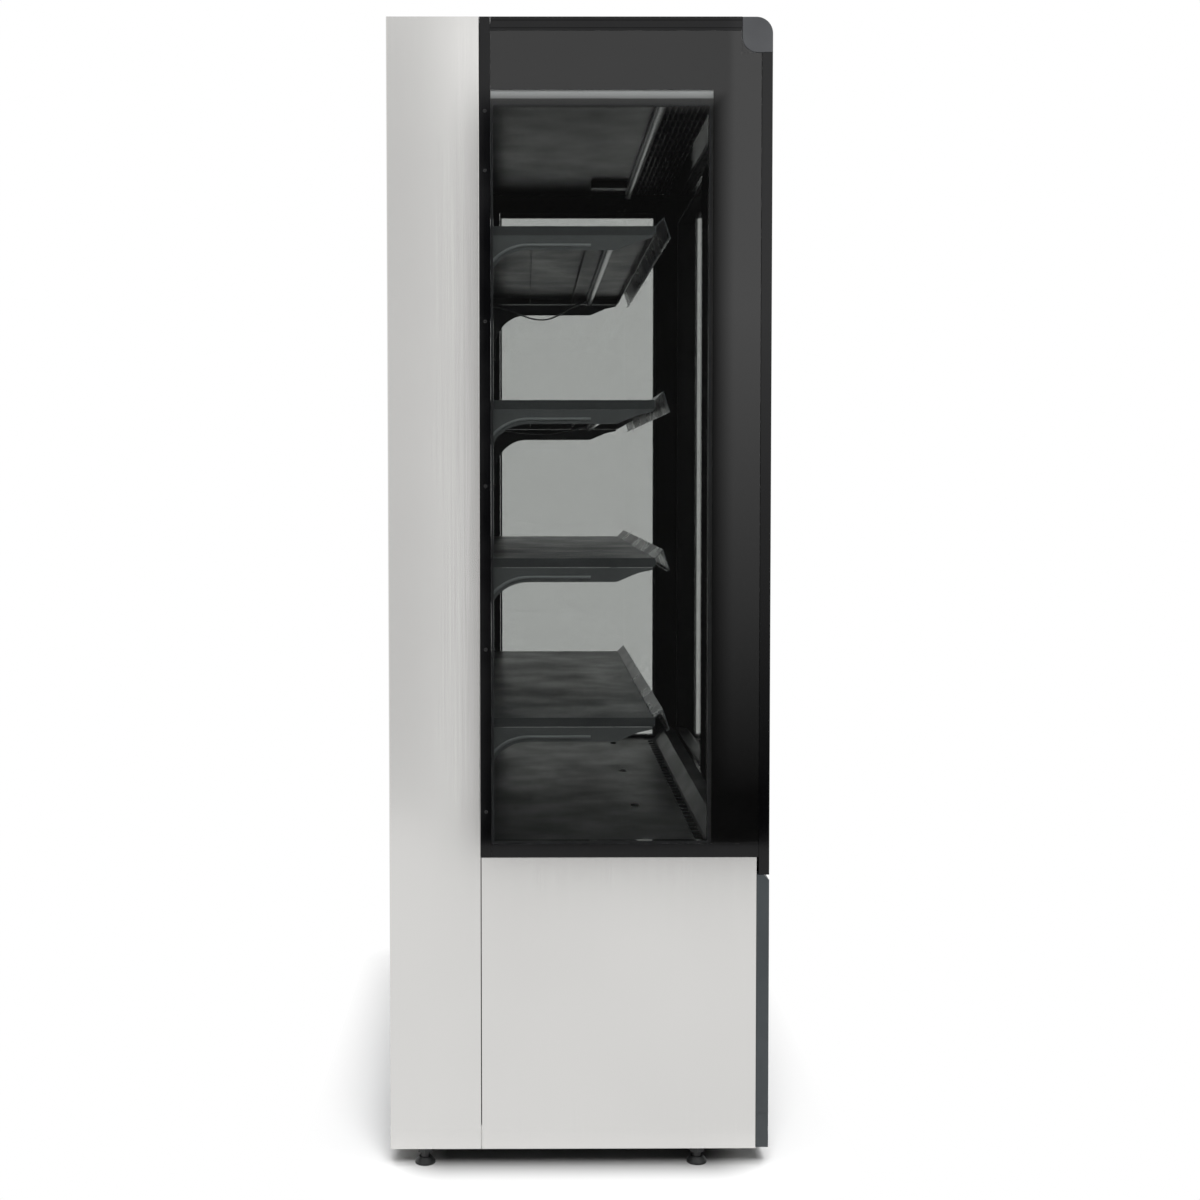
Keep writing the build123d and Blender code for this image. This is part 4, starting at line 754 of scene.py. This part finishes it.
class FRIDGE_OT_bracket_beads(bpy.types.Operator):
    """Round crown on the pressed bead of each bracket"""

    bl_idname = "fridge.bracket_beads"
    bl_label = "Crown the brackets' beads"

    def execute(self, context):
        drop = 33 * MM                      # from a shelf's top to the bead's middle line
        bend = 82.5 * MM                    # radius of that line's bend
        half_wide, proud = 2.6 * MM, 2.2 * MM
        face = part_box("shelf_brackets")[1].x - 1.1 * MM
        y_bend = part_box("shelf_uprights")[0].y - 0.3 * MM - 91 * MM
        y_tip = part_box("shelf_1")[0].y + 111 * MM
        turn = np.linspace(np.pi / 2, 0, 15)
        across = np.linspace(0, np.pi, 9)
        shapes = []
        for _, sign in SIDES:
            section = list(zip(half_wide * np.cos(across), sign * proud * np.sin(across)))
            for number in SHELVES:
                z_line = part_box(f"shelf_{number}")[1].z - drop
                path = [(sign * face, y_tip, z_line)]
                path += [(sign * face, y_bend + bend * math.cos(a),
                          z_line - bend + bend * math.sin(a)) for a in turn]
                shapes.append(carried(section, path, closed=False))
        # The crowns are painted paler than the brackets: a painted highlight
        put("bracket_beads", joined(*shapes), "bead_painted_highlight")
        return {"FINISHED"}


class FRIDGE_OT_screws(bpy.types.Operator):
    """Pan head screws in the rear posts, the back panel, the rear grille and the kick plate"""

    bl_idname = "fridge.screws"
    bl_label = "Drive the screws"

    def execute(self, context):
        radius = context.scene.fridge_sizes.screw_radius
        rise = radius * 0.45
        post_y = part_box("window_frames")[1].y - 9 * MM
        post_heights = (0.62, 0.9, 1.18, 1.46, 1.715, 1.815)
        posts = [copied(*screw_head(radius * 0.8, rise, 0, sign),
                        [(sign * CAD_HIGH.x, post_y, z) for z in post_heights])
                 for _, sign in SIDES]
        put("post_screws", joined(*posts), "black_screw")
        low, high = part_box("back_panel")
        edge = 14 * MM
        z_rows = np.linspace(low.z + 30 * MM, high.z - 20 * MM, 6)
        x_rows = np.linspace(low.x + edge, high.x - edge, 5)
        places = [(x, high.y, z) for x in x_rows[[0, -1]] for z in z_rows]
        places += [(x, high.y, z) for x in x_rows[1:-1] for z in z_rows[[0, -1]]]
        put("back_screws", copied(*screw_head(radius, rise, 1, 1), places), "zinc")
        low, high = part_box("rear_grille")
        edge_x, edge_z, flange = 12 * MM, 10 * MM, 5 * MM
        places = [(x, high.y - flange, z) for x in (low.x + edge_x, 0.0, high.x - edge_x)
                  for z in (low.z + edge_z, high.z - edge_z)]
        put("grille_screws", copied(*screw_head(radius, rise, 1, 1), places), "zinc")
        low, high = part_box("kick_plate")
        places = [(x, low.y, (low.z + high.z) / 2) for x in (-0.56, -0.19, 0.19, 0.56)]
        put("kick_screws", copied(*screw_head(radius, rise, 1, -1), places), "black_screw")
        return {"FINISHED"}


class FRIDGE_OT_controls(bpy.types.Operator):
    """The controller's smoked window and three keys, without lettering, and the plug block of
    the canopy's lamp"""

    bl_idname = "fridge.controls"
    bl_label = "Fit the controls"

    def execute(self, context):
        low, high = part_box("controller")
        middle = (low.z + high.z) / 2
        face, depth = low.y, 2 * MM
        half_high, proud = 11 * MM, 0.8 * MM
        window = rounded_box((low.x + 10 * MM, face - proud, middle - half_high),
                             (low.x + 46 * MM, face + depth, middle + half_high), 0.7 * MM)
        put("controller_window", window, "display")
        key_wide, half_high, proud = 6 * MM, 4.5 * MM, 1.1 * MM
        keys = [rounded_box((x, face - proud, middle - half_high),
                            (x + key_wide, face + depth, middle + half_high), 1 * MM)
                for x in (low.x + 50 * MM, low.x + 58 * MM, low.x + 66 * MM)]
        put("controller_keys", joined(*keys), "key")
        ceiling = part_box("ceiling_liner")[0].z
        plug = rounded_box((0.385, -0.147, ceiling - 16 * MM), (0.425, -0.064, ceiling + 0.5 * MM),
                           2 * MM)
        put("canopy_lamp_plug", plug, "black_plastic")
        return {"FINISHED"}


class FRIDGE_OT_seals(bpy.types.Operator):
    """Brush seal behind the front leaf's meeting stile and bumpers at the ends of the track"""

    bl_idname = "fridge.seals"
    bl_label = "Fit the seals"

    def execute(self, context):
        low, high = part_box("door_left_frame")
        inset, wide, pile = 4 * MM, 8 * MM, 2.2 * MM
        base = rectangle((high.x - inset - wide, low.z + inset), (high.x - inset, high.z - inset))
        put("meeting_brush", plate(base, high.y, high.y + pile, 1), "pile", "door_left")
        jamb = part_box("door_head")[1].x - 0.3 * MM
        thick, half_wide, half_high = 0.4 * MM, 6 * MM, 12 * MM
        for side, sign in SIDES:
            leaf_low, leaf_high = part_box(f"door_{side}_frame")
            middle = (leaf_low.y + leaf_high.y) / 2
            x0, x1 = sorted((sign * jamb, sign * (jamb - thick)))
            bumpers = [rounded_box((x0, middle - half_wide, z - half_high),
                                   (x1, middle + half_wide, z + half_high), thick / 2)
                       for z in (0.72, 1.66)]
            put(f"track_bumpers_{side}", joined(*bumpers), "rubber")
        return {"FINISHED"}


class FRIDGE_OT_lamps(bpy.types.Operator):
    """Shelf lamps: an aluminium channel, a frosted cover and moulded end caps"""

    bl_idname = "fridge.lamps"
    bl_label = "Build the lamps"

    def execute(self, context):
        low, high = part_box("lamps")
        under = 1.5 * MM                    # from a shelf's top to the top of its lamp
        y_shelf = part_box("shelf_1")[0].y + LAMP_SET
        tops = sorted(round(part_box(f"shelf_{n}")[1].z - under, 5) for n in SHELVES)
        places = [(y_shelf, z) for z in tops] + [(low.y + 7.5 * MM, high.z)]
        # The sections are drawn in millimetres from the middle of a lamp's top
        channel = [(-7.5, 0), (7.5, 0), (7.5, -11), (6.3, -12), (6.3, -1.4), (-6.3, -1.4),
                   (-6.3, -12), (-7.5, -11)]
        arc = np.linspace(0, np.pi, 13)
        cover = [(-6.2, -3.0), *zip(-6.2 * np.cos(arc), -11.5 - 8.3 * np.sin(arc) ** 0.8),
                 (6.2, -3.0)]
        cap = [(-7.524, 0), (7.524, 0), (7.524, -12.5), (5.148, -18.5), (0, -20),
               (-5.148, -18.5), (-7.524, -12.5)]

        def bars(section, starts, length):
            """The section carried along x from each start, at each lamp's place."""
            return joined(*(plate([(y + a * MM, z + b * MM) for a, b in section], x, x + length)
                            for y, z in places for x in starts))

        whole, cap_long = high.x - low.x, 14 * MM
        put("lamp_channels", bars(channel, [low.x + 4 * MM], whole - 8 * MM), "fins",
            replaces=("lamps",))
        put("lamp_covers", bars(cover, [low.x + 6 * MM], whole - 12 * MM), "frosted")
        put("lamp_end_caps", bars(cap, [low.x, high.x - cap_long], cap_long), "black_plastic")
        return {"FINISHED"}


class FRIDGE_OT_lamp_leads(bpy.types.Operator):
    """The leads that hang between each shelf lamp and the duct wall"""

    bl_idname = "fridge.lamp_leads"
    bl_label = "Hang the lamp leads"

    def execute(self, context):
        radius = context.scene.fridge_sizes.lead_radius
        x_lead = 0.510
        y_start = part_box("shelf_1")[0].y + LAMP_SET + 8.3 * MM
        y_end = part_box("duct_wall")[0].y - 0.3 * MM
        # A route is in millimetres: back from the lamp, and up from the shelf's top
        loose = [(0, -14), (28, -22), (58, -42), (94, -58), (134, -54), (171, -38), (208, -26)]
        short = [(0, -11), (33, -19), (70, -26.5), (108, -29), (148, -27), (186, -22.5),
                 (215, -21)]
        for number in SHELVES:
            route = loose if number == 1 else short
            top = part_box(f"shelf_{number}")[1].z
            line = [(x_lead, y_start + a * MM, top + b * MM) for a, b in route]
            line.append((x_lead, y_end, top + (route[-1][1] + 1) * MM))
            curve = bpy.data.curves.new(f"lamp_lead_{number}", "CURVE")
            curve.dimensions = "3D"
            curve.bevel_depth = radius
            curve.bevel_resolution = 4
            curve.use_fill_caps = True
            spline = curve.splines.new("NURBS")
            spline.points.add(len(line) - 1)
            spline.points.foreach_set("co", np.insert(np.array(line), 3, 1.0, axis=1).ravel())
            spline.order_u = 3
            spline.use_endpoint_u = True
            curve.materials.append(MATERIALS["lead"])
            piece = bpy.data.objects.new(f"lamp_lead_{number}", curve)
            context.scene.collection.objects.link(piece)
            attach(piece, CABINET)
            if number == 1:
                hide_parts("lamp_leads")
        return {"FINISHED"}


# The stage


def seen_directly(tree):
    """One for rays that the camera, metal or glass sends out, nought for rays that light."""
    ray = add(tree, "ShaderNodeLightPath")
    seen = ray.outputs["Is Camera Ray"]
    for kind in ("Is Glossy Ray", "Is Transmission Ray"):
        either = add(tree, "ShaderNodeMath", {0: seen, 1: ray.outputs[kind]},
                     operation="MAXIMUM")
        seen = either.outputs["Value"]
    return seen


def distance_outside(tree, point, half_x, half_y):
    """How far a point of the floor lies outside a rectangle round the origin: the length of
    what its coordinates, without their signs, have over the rectangle's half sizes."""
    size = add(tree, "ShaderNodeVectorMath", {0: point}, operation="ABSOLUTE")
    past = add(tree, "ShaderNodeVectorMath", {0: size.outputs["Vector"], 1: (half_x, half_y, 0)},
               operation="SUBTRACT")
    past = add(tree, "ShaderNodeVectorMath", {0: past.outputs["Vector"], 1: (0, 0, 0)},
               operation="MAXIMUM")
    length = add(tree, "ShaderNodeVectorMath", {0: past.outputs["Vector"]}, operation="LENGTH")
    return length.outputs["Value"]


def floor_material(colour):
    """Matt paint, as white as the surroundings away from the cabinet, and darkened under its base
    by a painted shadow.
    """
    material, tree = new_material("Painted studio floor")
    point = add(tree, "ShaderNodeTexCoord").outputs["Object"]
    speck = add(tree, "ShaderNodeTexNoise", {"Vector": point, "Scale": per_metre(300)})
    rough = add(tree, "ShaderNodeMapRange",
                {"Value": speck.outputs["Fac"], "To Min": 0.8, "To Max": 0.9})
    # Away from the cabinet's footprint the floor runs on as white as the surroundings
    far = add(tree, "ShaderNodeMapRange",
              {"Value": distance_outside(tree, point, CAD_HIGH.x, CAD_HIGH.y),
               "From Min": 0.01, "From Max": 0.16})
    share = add(tree, "ShaderNodeMath", {0: far.outputs["Result"], 1: seen_directly(tree)},
                operation="MULTIPLY")
    # Painted shadow: hardly any light reaches the floor under the base, which stands 31 mm above
    # it, so the floor's colour is darkened there
    painted_shadow = add(tree, "ShaderNodeMapRange",
                  {"Value": distance_outside(tree, point, CAD_HIGH.x - 0.05, CAD_HIGH.y - 0.11),
                   "From Min": 0.01, "From Max": 0.11, "To Min": 0.15, "To Max": 1.0})
    tone = add(tree, "ShaderNodeVectorMath", {0: colour, "Scale": painted_shadow.outputs["Result"]},
               operation="SCALE")
    matt = add(tree, "ShaderNodeBsdfPrincipled",
               {"Base Color": tone.outputs["Vector"], "Roughness": rough.outputs["Result"],
                "Specular IOR Level": 0.0})
    white = add(tree, "ShaderNodeEmission", {"Color": (1, 1, 1, 1), "Strength": 1.0})
    mix = add(tree, "ShaderNodeMixShader",
              {0: share.outputs["Value"], 1: matt.outputs["BSDF"], 2: white.outputs["Emission"]})
    add(tree, "ShaderNodeOutputMaterial", {"Surface": mix.outputs["Shader"]})
    return material


def card_material():
    """Dark velvet in front of the near glass, with a pale reflector on both sides of it. The
    front one fades down to the floor, the rear one fades away from the velvet, and a third
    lies along the top, over the velvet. Only reflections see them."""
    material, tree = new_material("Black velvet between graded reflectors")
    place = add(tree, "ShaderNodeTexCoord")
    split = add(tree, "ShaderNodeSeparateXYZ", {"Vector": place.outputs["Object"]})
    velvet = (VELVET_END, VELVET_END + VELVET_BLEND)
    strength = {}
    # Each ramp runs over a stretch of one axis, in metres, from one strength to another
    for name, axis, (start, end), first, last in (
        ("height", "Z", (0.05, 1.8), 0.0, 1.55),
        ("ahead", "Y", (-0.66, -0.58), 1.0, 0.0),
        ("behind", "Y", velvet, 0.03, 1.45),
        ("fall", "Y", (0.31, 0.42), 0.0, 0.65),
        ("above", "Z", (2.50, 2.57), 0.0, 1.2),
        ("over_glass", "Y", velvet, 1.0, 0.0),
    ):
        ramp = add(tree, "ShaderNodeMapRange",
                   {"Value": split.outputs[axis], "From Min": start, "From Max": end,
                    "To Min": first, "To Max": last})
        strength[name] = ramp.outputs["Result"]
    for name, first, operation, second in (
        ("front", "height", "MULTIPLY", "ahead"),
        ("rear", "behind", "SUBTRACT", "fall"),
        ("top", "above", "MULTIPLY", "over_glass"),
        ("both", "front", "ADD", "rear"),
        ("glow", "both", "MAXIMUM", "top"),
    ):
        made = add(tree, "ShaderNodeMath", {0: strength[first], 1: strength[second]},
                   operation=operation)
        strength[name] = made.outputs["Value"]
    light = add(tree, "ShaderNodeEmission", {"Color": (1, 1, 1, 1), "Strength": strength["glow"]})
    ray = add(tree, "ShaderNodeLightPath")
    clear = add(tree, "ShaderNodeBsdfTransparent")
    mix = add(tree, "ShaderNodeMixShader",
              {0: ray.outputs["Glossy Depth"], 1: clear.outputs["BSDF"],
               2: light.outputs["Emission"]})
    add(tree, "ShaderNodeOutputMaterial", {"Surface": mix.outputs["Shader"]})
    return material


def stage_card(name, corners, material):
    """One flat stage surface through four corners."""
    mesh = bpy.data.meshes.new(name)
    mesh.from_pydata(corners, [], [(0, 1, 2, 3)])
    mesh.materials.append(material)
    card = bpy.data.objects.new(name, mesh)
    bpy.context.scene.collection.objects.link(card)
    return card


def pale_world(strength):
    """Surroundings that the camera, metal and glass see as white, and that light weakly."""
    world = bpy.data.worlds.new("Pale surroundings")
    world.use_nodes = True
    tree = world.node_tree
    tree.nodes.clear()
    light = add(tree, "ShaderNodeMapRange",
                {"Value": seen_directly(tree), "To Min": strength, "To Max": 1.0})
    back = add(tree, "ShaderNodeBackground",
               {"Color": (1, 1, 1, 1), "Strength": light.outputs["Result"]})
    add(tree, "ShaderNodeOutputWorld", {"Surface": back.outputs["Background"]})
    return world


def softbox(name, place, size, power, aim):
    """A square lamp that faces its aim and is never seen itself."""
    light = bpy.data.lights.new(name, "AREA")
    light.energy, light.size = power, size
    lamp = bpy.data.objects.new(name, light)
    bpy.context.scene.collection.objects.link(lamp)
    lamp.location = place
    lamp.rotation_mode = "QUATERNION"
    lamp.rotation_quaternion = (Vector(aim) - Vector(place)).to_track_quat("-Z", "Y")
    lamp.visible_camera = lamp.visible_glossy = lamp.visible_transmission = False


def fitted_camera():
    """The photograph's camera: it looks along its yaw and pitch and is rolled round that line,
    and its shift puts the picture's middle where the photograph has it."""
    ahead = Vector((math.cos(PITCH) * math.cos(YAW), -math.cos(PITCH) * math.sin(YAW),
                    -math.sin(PITCH)))
    right = ahead.cross(Vector((0, 0, 1))).normalized()
    up = right.cross(ahead)
    rolled_right = right * math.cos(ROLL) + up * math.sin(ROLL)
    rolled_up = up * math.cos(ROLL) - right * math.sin(ROLL)
    data = bpy.data.cameras.new("Camera")
    data.sensor_width = SENSOR
    data.lens = SENSOR * FOCAL_PX / FRAME_PX
    data.shift_x = (FRAME_PX / 2 - CENTRE_PX[0]) / FRAME_PX
    data.shift_y = (CENTRE_PX[1] - FRAME_PX / 2) / FRAME_PX
    data.clip_end = 200
    camera = bpy.data.objects.new("Camera", data)
    bpy.context.scene.collection.objects.link(camera)
    axes = Matrix((rolled_right, rolled_up, -ahead)).transposed()
    camera.matrix_world = Matrix.Translation(CAMERA_PLACE) @ axes.to_4x4()
    return camera


class FRIDGE_OT_stage(bpy.types.Operator):
    """Floor, pale surroundings, lamps and the camera"""

    bl_idname = "fridge.stage"
    bl_label = "Set the stage"

    def execute(self, context):
        scene = context.scene
        colours = scene.fridge_colours
        scene.view_settings.view_transform = "Standard"
        reach = 60.0
        ground = [(x, y, 0) for x, y in rectangle((-reach, -reach), (reach, reach))]
        stage_card("floor", ground, floor_material(tuple(colours.floor)))
        velvet = card_material()
        upright = rectangle((CARD_Y[0], 0), (CARD_Y[1], CARD_TOP))
        card = stage_card("card", [(CARD_X, y, z) for y, z in upright], velvet)
        # The same velvet lies on the floor in front of the card
        lying = rectangle((CARD_X, CARD_Y[0]), (CARD_FOOT_X, VELVET_END))
        foot = stage_card("card_foot", [(x, y, 1 * MM) for x, y in lying], velvet)
        for piece in (card, foot):
            piece.visible_camera = piece.visible_diffuse = piece.visible_shadow = False
        scene.world = pale_world(colours.surroundings)
        softbox("Softbox above", (0.0, -0.2, 4.4), 4.4, 190.0, (0, 0, 0))
        softbox("Softbox beside the near side", (-2.7, -0.2, 2.9), 1.4, 85.0, (-0.2, 0, 1.2))
        scene.camera = fitted_camera()
        return {"FINISHED"}


class FRIDGE_PT_panel(bpy.types.Panel):
    """Lists the fridge's operators and sizes"""

    bl_idname = "FRIDGE_PT_panel"
    bl_label = "Display fridge"
    bl_space_type = "VIEW_3D"
    bl_region_type = "UI"
    bl_category = "Fridge"

    def draw(self, context):
        for group in (context.scene.fridge_sizes, context.scene.fridge_colours):
            for name in group.__annotations__:
                self.layout.prop(group, name)
        for operator in OPERATORS:
            self.layout.operator(operator.bl_idname)


OPERATORS = (
    FRIDGE_OT_stage,
    FRIDGE_OT_lamp_leads,
    FRIDGE_OT_cad_finishes,
    FRIDGE_OT_glass_print,
    FRIDGE_OT_glass_spacers,
    FRIDGE_OT_door_panes,
    FRIDGE_OT_door_beads,
    FRIDGE_OT_lamps,
    FRIDGE_OT_bracket_beads,
    FRIDGE_OT_controls,
    FRIDGE_OT_seals,
    FRIDGE_OT_screws,
)
CLASSES = (FridgeSizes, FridgeColours, *OPERATORS, FRIDGE_PT_panel)


def register():
    """Registers the classes and adds the two groups of settings to the scene."""
    for kind in CLASSES:
        bpy.utils.register_class(kind)
    bpy.types.Scene.fridge_sizes = bpy.props.PointerProperty(type=FridgeSizes)
    bpy.types.Scene.fridge_colours = bpy.props.PointerProperty(type=FridgeColours)


def unregister():
    """Takes the settings and the classes away again."""
    del bpy.types.Scene.fridge_sizes
    del bpy.types.Scene.fridge_colours
    for kind in reversed(CLASSES):
        bpy.utils.unregister_class(kind)


def main():
    """Builds every piece in order."""
    register()
    MATERIALS.update(make_materials())
    for operator in OPERATORS:
        area, name = operator.bl_idname.split(".")
        getattr(getattr(bpy.ops, area), name)()


if __name__ == "__main__":
    main()
